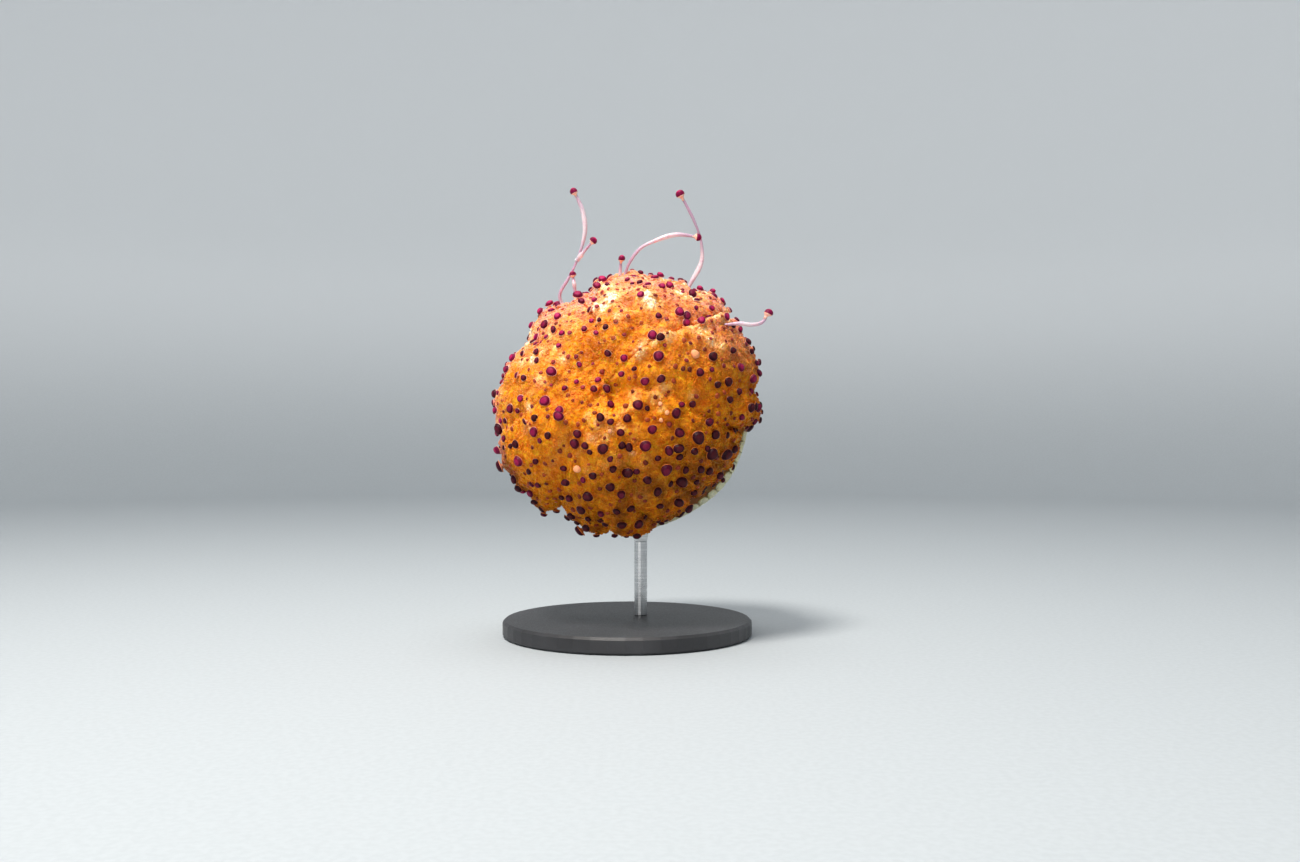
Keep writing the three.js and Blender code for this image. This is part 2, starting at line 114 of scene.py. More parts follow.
# The seed of each noise and of the random draws.
SEED = {
    "lip": 3, "lean": 5, "lobes": 11, "knolls": 23, "grains": 37, "groups": 41, "waves": 43,
    "froth_and_highlight": 51, "edges": 61, "fuzz": 65, "run": 71, "clubs": 7, "frills": 11, "filaments": 5,
}
# How strong some of the markings are.
FROTHY_LIP = 2.4 * MM  # a lip of this height is pale
# Painted highlight on the faces that turn up.
UPWARD_HIGHLIGHT = 0.36
# The pink rim, on the upper side only: partly painted light from above.
RIM_VEIL = 0.75
# Painted shade at the limbs.
LIMB_SHADE = {"right": 0.62, "left": 0.9}

# The camera, and its focal length in pixels of the photo.
FRAME_WIDTH = 1300
FRAME_HEIGHT = 862
LENS = 35
SENSOR = 36
CAMERA = np.array([13.8, -774, 124.4]) * MM
FOCAL_PIXELS = LENS / SENSOR * FRAME_WIDTH

# The clubs that the photo shows, by lobe: the middle of the button and its width, in pixels of the photo.
SEEN_CLUBS = {
    "top": [
        (603, 279, 8), (597, 285, 7.5), (607, 284, 5), (680, 311, 9), (688, 315, 8.5), (700, 319, 8),
        (687, 323, 8), (652, 335, 9), (661, 337, 8), (659, 316, 6), (712, 308, 6), (697, 308, 5),
        (693, 293, 9), (670, 285, 8.5), (662, 285, 7), (640, 294, 7), (627, 279, 5.5), (662, 269, 7),
        (641, 272, 6), (712, 290, 6), (723, 300, 6), (728, 317, 7), (733, 325, 6), (741, 330, 6),
        (749, 341, 7), (752, 352, 6), (700, 283, 7), (645, 286, 5),
    ],
    "upper_left": [
        (544, 324, 8), (558, 316, 7), (552, 330, 7), (561, 333, 6), (559, 345, 5.5), (535, 351, 6.5),
        (536, 360, 5.5), (523, 378, 6), (584, 328, 6), (596, 332, 5), (605, 327, 5.5), (591, 320, 5),
        (599, 320, 4.5), (579, 365, 5.5), (577, 381, 5), (565, 388, 5.5), (579, 294, 9), (582, 301, 7),
        (552, 370, 10), (549, 300, 8), (539, 311, 8), (594, 300, 6), (512, 357, 8), (506, 369, 8),
        (502, 376, 5),
    ],
    "left": [
        (544, 400, 10), (558, 415, 10), (559, 409, 8), (532, 432, 9), (547, 436, 7.5), (539, 441, 5.5),
        (514, 444, 8), (534, 418, 7), (509, 408, 8), (517, 411, 5), (520, 398, 7), (494, 393, 8),
        (498, 429, 10), (517, 461, 10), (536, 462, 6), (528, 472, 6), (563, 469, 6.5), (565, 483, 8),
        (529, 494, 8), (538, 486, 6), (513, 479, 8), (523, 492, 6), (535, 503, 7), (497, 451, 8),
        (503, 439, 6), (510, 446, 5), (495, 410, 6), (500, 421, 5), (568, 499, 8), (561, 498, 6),
        (518, 489, 8),
    ],
    "middle": [
        (677, 414, 10), (638, 404, 9.5), (658, 356, 10), (713, 356, 9), (627, 418, 8), (600, 417, 8),
        (611, 421, 6.5), (612, 404, 7), (648, 408, 5), (598, 379, 6), (593, 388, 7), (644, 382, 8),
        (621, 374, 6), (624, 359, 7), (607, 354, 7), (630, 447, 8), (620, 433, 7), (622, 446, 7),
        (574, 444, 9), (577, 434, 8), (584, 446, 7), (589, 452, 5.5), (602, 449, 10), (645, 445, 11),
        (652, 430, 8.5), (661, 379, 8), (634, 369, 5), (607, 388, 8),
    ],
    "lower": [
        (667, 471, 12), (682, 484, 12), (680, 502, 10), (611, 488, 9), (587, 496, 10), (626, 473, 10),
        (648, 481, 9), (622, 495, 8), (592, 476, 7.5), (614, 470, 7.5), (579, 510, 9), (571, 517, 8),
        (632, 509, 8), (616, 512, 7), (622, 526, 9), (639, 525, 9), (600, 514, 6.5), (661, 507, 7),
        (658, 492, 9), (697, 483, 6), (694, 493, 6.5), (691, 508, 9), (658, 458, 6), (610, 459, 6),
        (637, 472, 6.5), (585, 528, 8), (637, 537, 8), (600, 521, 6), (588, 520, 6), (582, 480, 6),
    ],
    "right": [
        (699, 437, 12), (730, 382, 9), (718, 385, 7), (740, 391, 6.5), (730, 400, 7), (752, 408, 9),
        (759, 408, 8), (755, 423, 6), (754, 380, 9), (742, 367, 8), (734, 350, 7), (712, 369, 5),
        (700, 372, 8), (721, 476, 8), (727, 456, 11), (713, 455, 11.5), (711, 471, 8), (701, 470, 7.5),
        (686, 470, 7), (678, 448, 9.5), (668, 451, 9), (679, 432, 9.5), (680, 458, 7), (695, 451, 7),
        (708, 449, 6), (716, 435, 8.5), (710, 421, 8.5), (735, 450, 7), (728, 482, 6), (742, 418, 6),
        (760, 372, 7), (757, 362, 6), (752, 391, 6), (693, 405, 7), (682, 404, 6),
    ],
}
# Painted highlights, paler froth and a little paler tan: the middle and size of each patch, in pixels.
HIGHLIGHT_PATCHES = [
    (606, 286, 8), (611, 297, 9), (603, 307, 7), (647, 295, 9), (651, 303, 7), (645, 278, 5), (663, 278, 5),
    (528, 333, 8), (526, 342, 7), (531, 325, 5), (637, 353, 5), (643, 347, 6), (663, 333, 5), (672, 332, 5),
    (698, 323, 5), (703, 331, 7), (709, 338, 6), (713, 343, 5), (722, 346, 4), (529, 407, 4), (533, 359, 5),
    (703, 290, 6), (680, 293, 6), (693, 299, 5), (526, 337, 9), (686, 284, 5),
]
# Pale froth on lips and lumps, partly painted highlight.
PALE_PATCHES = [
    (611, 292, 12), (649, 300, 11), (541, 351, 6), (522, 361, 6), (551, 335, 6), (556, 347, 6), (563, 358, 6),
    (513, 358, 6), (640, 351, 6), (645, 343, 6), (666, 335, 6), (680, 331, 7), (695, 329, 8), (706, 334, 7),
    (713, 343, 7), (664, 388, 8), (634, 396, 8), (655, 397, 8), (604, 415, 7), (596, 423, 8), (620, 429, 7),
    (611, 431, 6), (529, 407, 6), (528, 428, 7), (662, 409, 5), (632, 452, 5), (709, 292, 7), (729, 310, 6),
    (640, 272, 7), (670, 277, 7), (653, 300, 6), (661, 303, 5), (686, 296, 6), (676, 291, 5), (700, 299, 5),
    (652, 343, 6), (660, 338, 5), (540, 380, 8), (532, 321, 6), (617, 316, 5), (640, 288, 5), (592, 438, 8),
    (604, 437, 7), (497, 420, 5), (500, 395, 5), (693, 396, 6),
]
# A little paler: partly the flesh's golden tone, partly painted light.
TAN_PATCHES = [
    (537, 377, 9), (550, 360, 8), (560, 447, 12), (552, 462, 9), (545, 474, 7), (636, 428, 6), (633, 440, 6),
    (632, 450, 5), (641, 497, 9), (560, 340, 8), (566, 330, 7), (570, 438, 11), (580, 448, 8), (618, 458, 14),
    (604, 465, 9), (645, 462, 10), (588, 470, 8), (575, 455, 9), (690, 358, 9), (668, 365, 8), (530, 391, 9),
]
PALE_TABLES = ((HIGHLIGHT_PATCHES, 1.0), (PALE_PATCHES, 0.5), (TAN_PATCHES, 0.2))  # each with how pale it is
# Painted shade: where the valleys and the places under the lobes' edges are painted deeper orange.
SHADE_PATCHES = [
    (597, 341, 12), (611, 351, 10), (628, 334, 8), (634, 317, 7), (677, 349, 9), (607, 374, 10),
    (590, 325, 8), (626, 320, 6), (575, 395, 12), (590, 400, 10), (560, 380, 9), (700, 395, 10),
    (560, 425, 9), (670, 425, 10), (735, 360, 12), (750, 385, 12), (648, 318, 7), (640, 338, 7),
    (636, 329, 9), (560, 396, 10), (578, 402, 9), (575, 305, 9), (727, 390, 14), (712, 378, 10),
    (627, 301, 7), (653, 320, 7), (670, 310, 8), (596, 314, 7), (584, 318, 8), (690, 312, 7), (568, 312, 9),
    (556, 308, 8), (650, 326, 8),
]
# How much a step along the line of sight counts against one across it, so that a mark at the limb runs on
# behind it.
PATCH_DEPTH = 0.5
SWELL_DEPTH = 0.12
# Lumps, and dents where the last number is below 0: the middle and size in pixels, and the height in mm.
SWELLS = [
    (612, 297, 9, 2.4), (649, 298, 9, 2.6), (638, 321, 9, -3.0), (634, 305, 6, -1.8), (630, 337, 8, -2.6),
    (679, 341, 8, 1.4), (698, 336, 8, 2.0), (689, 339, 4, -1.2), (711, 339, 6, 1.8), (722, 347, 6, 1.0),
    (553, 490, 7, -1.4), (604, 289, 6, 1.2), (612, 303, 6, 1.4), (650, 297, 6, 1.4), (655, 337, 6, 1.4),
    (667, 331, 6, 1.2), (652, 321, 7, -1.6), (626, 302, 7, -1.4), (668, 309, 6, -1.0), (596, 316, 7, -1.0),
    (527, 338, 5, 1.4), (552, 472, 8, -1.0), (578, 522, 9, 1.0), (597, 425, 6, 1.4), (604, 416, 5, 1.4),
    (613, 421, 5, 1.2), (620, 432, 6, 1.2), (660, 391, 8, 1.6), (645, 396, 6, 1.2), (640, 351, 6, 2.0),
    (571, 372, 6, -1.2), (571, 388, 6, -0.9), (525, 406, 5, 1.2), (530, 423, 7, 1.2), (560, 300, 12, 1.2),
    (580, 340, 12, 1.0), (710, 297, 10, 1.2), (672, 284, 10, 1.2), (632, 284, 9, 1.2), (655, 440, 12, 1.0),
    (600, 470, 12, 1.0), (640, 500, 12, 1.0), (690, 440, 12, 1.0), (745, 405, 10, 1.2), (520, 460, 11, 1.0),
    (545, 385, 13, 1.0), (590, 350, 9, -0.8), (610, 440, 5, 0.8), (734, 473, 8, 1.0), (696, 286, 12, -4.6),
    (680, 283, 9, -1.6), (670, 281, 10, -4.8), (645, 276, 12, -2.6), (627, 277, 9, -1.8), (606, 279, 8, -2.2),
    (587, 293, 9, -7.2), (566, 297, 12, -2.6), (555, 301, 8, -2.6), (535, 322, 8, -2.4), (528, 338, 9, -4.2),
    (520, 350, 8, -2.6), (508, 362, 9, -1.8), (499, 384, 8, -1.8), (499, 453, 8, -1.5), (512, 479, 8, -2.8),
    (562, 511, 12, -4.8), (578, 524, 9, -3.4), (706, 494, 10, -3.4), (716, 485, 9, -2.0), (733, 462, 8, -3.0),
    (738, 444, 8, -5.6), (757, 418, 8, 1.2), (735, 314, 8, -2.2),
]
# The few clubs without pigment.
PALE_CLUBS = [
    (696, 354, 8), (577, 469, 7), (611, 431, 4), (667, 412, 4.5), (661, 420, 4), (660, 403, 4),
]

# ---- Small tools ----


def lerp(a, b, share):
    return a + (b - a) * share


def smoothstep(x, low, high):
    share = np.clip((x - low) / (high - low), 0, 1)
    return share * share * (3 - 2 * share)


def lengths(vectors):
    return np.linalg.norm(vectors, axis=-1)


def unit(vectors):
    return vectors / np.linalg.norm(vectors, axis=-1, keepdims=True)


def to_world(points):
    return BODY_CENTRE + points @ TO_WORLD.T


def to_animal(points):
    return (points - BODY_CENTRE) @ TO_WORLD


def pixel_ray(x, y):
    """The line of sight through a pixel of the photo, in the animal's frame."""
    across = (x - FRAME_WIDTH / 2) / FOCAL_PIXELS
    up = (FRAME_HEIGHT / 2 - y) / FOCAL_PIXELS
    return to_animal(CAMERA), unit(np.array([across, 1.0, up])) @ TO_WORLD


# A hash: a large factor for each axis and for the seed, and the shifts and factors that stir them.
AXIS_FACTORS = (73856093, 19349663, 83492791)
SEED_FACTOR = 40503
STIRS = ((13, 1274126177), (15, 668265263))


def lattice(cells, seed):
    """A random number from 0 to 1 for each cell of whole numbers."""
    mixed = seed * SEED_FACTOR
    for axis, factor in enumerate(AXIS_FACTORS):
        mixed = mixed ^ cells[..., axis] * factor
    for shift, factor in STIRS:
        mixed = (mixed ^ (mixed >> shift)) * factor & 0xFFFFFFFF
    return (mixed >> 8 & 0xFFFF) / 0xFFFF


def noise(points, size, seed):
    """Smooth noise from -1 to 1, with features of that size."""
    scaled = points / size
    cells = np.floor(scaled).astype(np.int64)
    inside = scaled - cells
    inside = inside * inside * (3 - 2 * inside)
    total = np.zeros(len(points))
    for corner in itertools.product((0, 1), repeat=3):
        weight = np.prod(np.where(corner, inside, 1 - inside), axis=-1)
        total += weight * lattice(cells + corner, seed)
    return 2 * total - 1


def rounded_cells(points, size, seed):
    """The height of a close pack of round lumps of that size, from 0 in the creases to 1."""
    scaled = points / size
    cells = np.floor(scaled).astype(np.int64)
    nearest = np.full(len(points), np.inf)
    second = np.full(len(points), np.inf)
    for step in itertools.product((-1, 0, 1), repeat=3):
        cell = cells + step
        middle = cell + np.stack([lattice(cell, seed + axis) for axis in range(3)], axis=-1)
        distance = np.linalg.norm(scaled - middle, axis=-1)
        second = np.minimum(second, np.maximum(nearest, distance))
        nearest = np.minimum(nearest, distance)
    to_edge = np.clip((second - nearest) / 0.55, 0, 1)
    return np.sqrt(1 - (1 - to_edge) ** 2)


def new_object(name, data):
    thing = bpy.data.objects.new(name, data)
    bpy.context.scene.collection.objects.link(thing)
    return thing


def mesh_object(name, points, triangles, materials, values=None, face_materials=None, bake_map=None):
    """A smooth mesh that rides on the root body. values holds a number for each point by attribute name."""
    mesh = bpy.data.meshes.new(name)
    mesh.vertices.add(len(points))
    mesh.vertices.foreach_set("co", np.asarray(points, np.float32).ravel())
    corners = np.asarray(triangles, np.int32)
    mesh.loops.add(corners.size)
    mesh.loops.foreach_set("vertex_index", corners.ravel())
    mesh.polygons.add(len(corners))
    mesh.polygons.foreach_set("loop_start", np.arange(0, corners.size, 3, dtype=np.int32))
    mesh.update(calc_edges=True)
    mesh.shade_smooth()
    for key, numbers in (values or {}).items():
        layer = mesh.attributes.new(key, "FLOAT", "POINT")
        layer.data.foreach_set("value", np.asarray(numbers, np.float32).ravel())
    for material in materials:
        mesh.materials.append(material)
    if face_materials is not None:
        mesh.polygons.foreach_set("material_index", np.asarray(face_materials, np.int32))
    if bake_map is not None:
        layer = mesh.uv_layers.new(name="OFBake")
        layer.data.foreach_set("uv", np.asarray(bake_map, np.float32)[corners.ravel()].ravel())
    thing = new_object(name, mesh)
    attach(thing, "root")
    return thing


def rings_triangles(rows, columns):
    """The triangles of a tube of rings, numbered ring by ring, facing out where rings turn left going up."""
    row, column = np.meshgrid(np.arange(rows - 1), np.arange(columns), indexing="ij")
    here = (row * columns + column).ravel()
    beside = (row * columns + (column + 1) % columns).ravel()
    return np.concatenate([
        np.stack([here, beside, beside + columns], axis=-1),
        np.stack([here, beside + columns, here + columns], axis=-1),
    ])


def around_axis(radius, azimuth, z):
    """Points at those distances from the z axis, azimuths and heights."""
    return np.stack(np.broadcast_arrays(radius * np.cos(azimuth), radius * np.sin(azimuth), z), axis=-1)


def angles_around(count):
    return np.arange(count) / count * 2 * math.pi


def along_frames(places, steps, directions):
    """A ring of points for each place, by steps along its own directions."""
    moved = [step[..., None] * direction[:, None] for step, direction in zip(steps, directions)]
    return places[:, None] + sum(moved)


def fan_triangles(first, columns, middle, flip=False):
    """The triangles that close the ring that starts at point `first` to a middle point."""
    here = first + np.arange(columns)
    beside = first + (np.arange(columns) + 1) % columns
    order = [beside, here] if flip else [here, beside]
    return np.stack([*order, np.full(columns, middle)], axis=-1)


def bottom_cap(columns):
    """The triangles that close the first ring of a tube, as a fan from its first point."""
    near = np.arange(1, columns - 1)
    return np.stack([np.zeros_like(near), near + 1, near], axis=-1)


def closed_tube(rows, columns):
    """The triangles of a tube whose last two points are the middles of its first and last ring."""
    return np.concatenate([
        rings_triangles(rows, columns),
        fan_triangles(0, columns, rows * columns, flip=True),
        fan_triangles((rows - 1) * columns, columns, rows * columns + 1),
    ])


def frames_along(directions, spin, helper=None):
    """Two unit vectors square to each direction and to each other, set out from helper and turned by spin."""
    if helper is None:
        helper = np.where(np.abs(directions[:, 2:]) < 0.9, [[0.0, 0.0, 1.0]], [[1.0, 0.0, 0.0]])
    first = unit(np.cross(helper, directions))
    second = np.cross(directions, first)
    cos, sin = np.cos(spin)[:, None], np.sin(spin)[:, None]
    return first * cos + second * sin, second * cos - first * sin


# ---- Materials ----


class Nodes:
    """Makes the nodes of one material."""

    def __init__(self, name):
        self.material = bpy.data.materials.new(name)
        self.material.use_nodes = True
        self.tree = self.material.node_tree
        self.tree.nodes.clear()
        self.place = self.add("ShaderNodeTexCoord").outputs["Object"]

    def add(self, kind, inputs=None, **settings):
        node = self.tree.nodes.new(kind)
        for key, value in settings.items():
            setattr(node, key, value)
        for key, value in (inputs or {}).items():
            if isinstance(value, bpy.types.NodeSocket):
                self.tree.links.new(value, node.inputs[key])
            else:
                node.inputs[key].default_value = value
        return node

    def value(self, name):
        return self.add("ShaderNodeAttribute", attribute_name=name).outputs["Fac"]

    def math(self, operation, a, b=0.0):
        return self.add("ShaderNodeMath", {0: a, 1: b}, operation=operation).outputs[0]

    def times(self, a, b):
        return self.math("MULTIPLY", a, b)

    def span(self, value, low, high, to_low=0.0, to_high=1.0):
        """value between low and high, brought smoothly to the span from to_low to to_high."""
        inputs = {"Value": value, "From Min": low, "From Max": high, "To Min": to_low, "To Max": to_high}
        return self.add("ShaderNodeMapRange", inputs, interpolation_type="SMOOTHSTEP").outputs["Result"]

    def noise(self, size, detail=2.0, roughness=0.5, distortion=0.0):
        inputs = {"Vector": self.place, "Scale": 1 / size, "Detail": detail, "Roughness": roughness}
        inputs["Distortion"] = distortion
        return self.add("ShaderNodeTexNoise", inputs).outputs["Fac"]

    def cells(self, size):
        return self.add("ShaderNodeTexVoronoi", {"Vector": self.place, "Scale": 1 / size}).outputs["Distance"]

    def blend(self, a, b, share):
        return self.add("ShaderNodeMix", {0: share, 6: a, 7: b}, data_type="RGBA").outputs[2]

    def tint(self, base, paint, value, low, high, to_low=0.0, to_high=1.0):
        """base, blended with paint by value's span."""
        return self.blend(base, paint, self.span(value, low, high, to_low, to_high))

    def bump(self, height, depth, strength=1.0, under=None):
        inputs = {"Height": height, "Distance": depth, "Strength": strength}
        if under is not None:
            inputs["Normal"] = under
        return self.add("ShaderNodeBump", inputs).outputs["Normal"]

    def finish(self, base, normal, rough, gloss=0.5, glow=None, metal=0.0):
        """The material. glow: the share of light that goes under the surface, how far, and that by colour."""
        inputs = {"Base Color": base, "Normal": normal, "Roughness": rough, "Metallic": metal}
        inputs["Specular IOR Level"] = gloss
        inputs.update(zip(("Subsurface Weight", "Subsurface Scale", "Subsurface Radius"), glow or ()))
        shader = self.add("ShaderNodeBsdfPrincipled", inputs, subsurface_method="RANDOM_WALK")
        output = self.add("ShaderNodeOutputMaterial")
        self.tree.links.new(shader.outputs[0], output.inputs["Surface"])
        return self.material


def colour(*channels):
    """An sRGB colour from 0 to 255 as the linear colour that nodes take."""
    shares = [channel / 255 for channel in channels]
    linear = [((share + 0.055) / 1.055) ** 2.4 if share > 0.04045 else share / 12.92 for share in shares]
    return (*linear, 1.0)


# Rust orange, also the painted shade in creases and valleys.
RUST = colour(196, 92, 4)
DEEP_ORANGE = colour(234, 122, 2)
ORANGE = colour(255, 158, 12)
GOLD = colour(255, 184, 26)
PEACH = colour(255, 178, 112)
PINK = colour(248, 164, 172)
CREAM = colour(255, 194, 124)
# For the palest froth: mostly painted highlight.
PALE_YELLOW = colour(255, 248, 224)
# The colour of the painted shade.
SHADE_UMBER = colour(124, 62, 4)


def flesh_colour(nodes, tip):
    """The colour of the oral arms. tip is how far out on a frill a place is, from 0 to 1."""
    low = nodes.value("low")
    base = nodes.tint(DEEP_ORANGE, ORANGE, nodes.noise(9 * MM, 4.0, 0.62, 0.6), 0.34, 0.6)
    speckle = nodes.noise(2.2 * MM, 3.0, 0.65)
    # Pale flecks, fewer lower down: partly painted light from above.
    flecks = nodes.times(nodes.span(speckle, 0.5, 0.68), nodes.span(low, 0.7, 0.15, 0.04, 0.85))
    base = nodes.blend(base, PEACH, flecks)
    base = nodes.tint(base, RUST, speckle, 0.48, 0.3, 0.0, 0.85)
    blotch = nodes.noise(4.2 * MM, 4.0, 0.7, 0.4)
    base = nodes.tint(base, GOLD, blotch, 0.5, 0.62, 0.0, 0.7)
    base = nodes.tint(base, RUST, blotch, 0.46, 0.34, 0.0, 0.6)
    # Painted shade: rust orange in the creases and valleys.
    base = nodes.blend(base, RUST, nodes.times(nodes.value("crease_shade"), 0.75))
    # Painted shade: umber where the shade is, mottled.
    mottle = nodes.span(nodes.noise(9 * MM, 3.0), 0.36, 0.64, 0.42, 1.0)
    base = nodes.blend(base, SHADE_UMBER, nodes.times(nodes.value("shade"), mottle))
    cloud = nodes.span(nodes.noise(8 * MM, 5.0, 0.68, 0.8), 0.36, 0.6)
    # The pink veil, partly painted light from above.
    veil_and_top_light = nodes.times(nodes.value("veil_and_top_light"), nodes.span(cloud, 0.0, 1.0, 0.3, 1.0))
    base = nodes.blend(base, PINK, nodes.times(veil_and_top_light, nodes.span(tip, -0.4, 0.8, 0.6, 1.0)))
    # Pale ridges, only higher up: partly painted light from above.
    ridge = nodes.math("SUBTRACT", nodes.noise(6 * MM, 3.0, 0.6, 1.2), 0.5)
    ridge = nodes.span(nodes.math("ABSOLUTE", ridge), 0.05, 0.0)
    ridge = nodes.times(nodes.times(ridge, nodes.span(low, 0.6, 0.1, 0.0, 0.7)), cloud)
    # Froth and painted highlight, in dots, turn cream and then pale yellow; the palest are painted
    # highlights.
    dots = nodes.span(nodes.cells(1.5 * MM), 0.5, 0.2, 0.72, 1.25)
    pale = nodes.math("MAXIMUM", nodes.times(ridge, tip), nodes.times(nodes.value("froth_and_highlight"), dots))
    base = nodes.tint(base, CREAM, pale, 0.0, 0.55)
    return nodes.tint(base, PALE_YELLOW, pale, 0.42, 0.95)


def flesh_material():
    nodes = Nodes("oral_arm_flesh")
    pits = nodes.bump(nodes.cells(1.1 * MM), -0.3 * MM, 0.6)
    normal = nodes.bump(nodes.noise(0.7 * MM, 3.0), 0.15 * MM, 0.5, pits)
    clear = nodes.span(nodes.value("froth_and_highlight"), 0.1, 0.7, 0.9, 0.25)
    return nodes.finish(flesh_colour(nodes, 0.6), normal, 0.55, 0.12, (clear, 6 * MM, (1.0, 0.42, 0.12)))


def frill_material():
    nodes = Nodes("mouthlet_frill")
    tip = nodes.value("tip")
    base = flesh_colour(nodes, tip)
    # Tips painted paler in the upper half: partly the frills' own pale tips, partly painted light from above.
    paler = nodes.times(nodes.span(tip, 0.4, 1.0), nodes.span(nodes.value("low"), 0.7, 0.15, 0.03, 0.4))
    base = nodes.blend(base, PEACH, paler)
    base = nodes.tint(DEEP_ORANGE, base, tip, -0.6, 0.4)
    normal = nodes.bump(nodes.noise(0.5 * MM, 2.0), 0.1 * MM, 0.5)
    return nodes.finish(base, normal, 0.6, 0.12, (0.5, 0.4 * MM, (1.0, 0.9, 0.8)))


def stalk_material():
    nodes = Nodes("club_stalk")
    base = nodes.tint(colour(242, 168, 140), colour(255, 212, 196), nodes.noise(1.2 * MM, 3.0), 0.35, 0.65)
    # Painted shade: the lower stalks browner and darker.
    base = nodes.tint(base, colour(186, 100, 36), nodes.value("low"), 0.3, 0.66)
    foot = nodes.times(nodes.span(nodes.value("radial"), 2.15, 2.45), nodes.value("rooted"))
    normal = nodes.bump(nodes.noise(0.6 * MM, 2.0), 0.12 * MM, 0.5)
    base = nodes.blend(base, ORANGE, foot)
    return nodes.finish(base, normal, 0.4, 0.25, (0.6, 1 * MM, (1.0, 0.75, 0.6)))


def button_material():
    nodes = Nodes("club_button")
    # The pigment at random, plus painted light: the higher clubs a lit magenta, the lower ones darker.
    tone = nodes.value("tone")
    dark = nodes.tint(colour(42, 3, 17), colour(118, 6, 58), tone, 0.15, 0.95)
    light = nodes.tint(colour(72, 18, 26), colour(188, 30, 94), tone, 0.15, 0.95)
    specks = nodes.span(nodes.noise(0.8 * MM, 3.0, 0.6), 0.25, 0.7, 0.6, 1.0)
    base = nodes.blend(dark, light, nodes.times(nodes.span(nodes.value("radial"), 0.84, 0.5), specks))
    base = nodes.blend(base, colour(168, 74, 34), nodes.value("faint"))
    base = nodes.blend(base, colour(246, 168, 118), nodes.value("pale"))
    normal = nodes.bump(nodes.cells(0.45 * MM), -0.08 * MM, 0.6)
    return nodes.finish(base, normal, 0.42, 0.12, (0.25, 1 * MM, (1.0, 0.2, 0.4)))


def filament_material():
    nodes = Nodes("filament")
    base = nodes.tint(colour(176, 148, 170), colour(224, 206, 212), nodes.value("thick"), 0.15, 0.8)
    base = nodes.tint(base, colour(202, 156, 180), nodes.noise(2.6 * MM, 3.0, 0.6), 0.5, 0.7, 0.0, 0.5)
    normal = nodes.bump(nodes.noise(0.7 * MM, 2.0), 0.15 * MM, 0.6)
    return nodes.finish(base, normal, 0.3, glow=(0.9, 3 * MM, (1.0, 0.7, 0.7)))


FLESH = flesh_material()
FRILL = frill_material()
STALK = stalk_material()
BUTTON = button_material()
FILAMENT_SKIN = filament_material()

# ---- The skin of the oral arms ----


def groove_azimuths(polar):
    """The azimuth of each of the nine grooves that bound the arms, the first one again at the end."""
    grooves = []
    for index in range(ARM_COUNT + 1):
        own = index % ARM_COUNT
        turn = 360 * (index // ARM_COUNT)
        swing = (GROOVE_MOUTH[own] - GROOVE_RIM[own]) * (1 - smoothstep(polar, ARM_START, rad(78)))
        sway = GROOVE_SWAY * np.sin(GROOVE_TURNS * polar + 2.1 * own)
        grooves.append(np.radians(GROOVE_RIM[own] + turn + swing) + sway)
    return np.array(grooves)


def crest_radius(polar):
    """The radius along the crest of an arm of reach 1."""
    hollow = HOLLOW_DEPTH * np.exp(-((polar / HOLLOW_WIDTH) ** 2))
    tuck = TUCK_DEPTH * smoothstep(polar, *TUCK)
    return BODY_RADIUS * (1 - FLATTENING * np.cos(polar) ** 2 - hollow) * (1 - tuck)


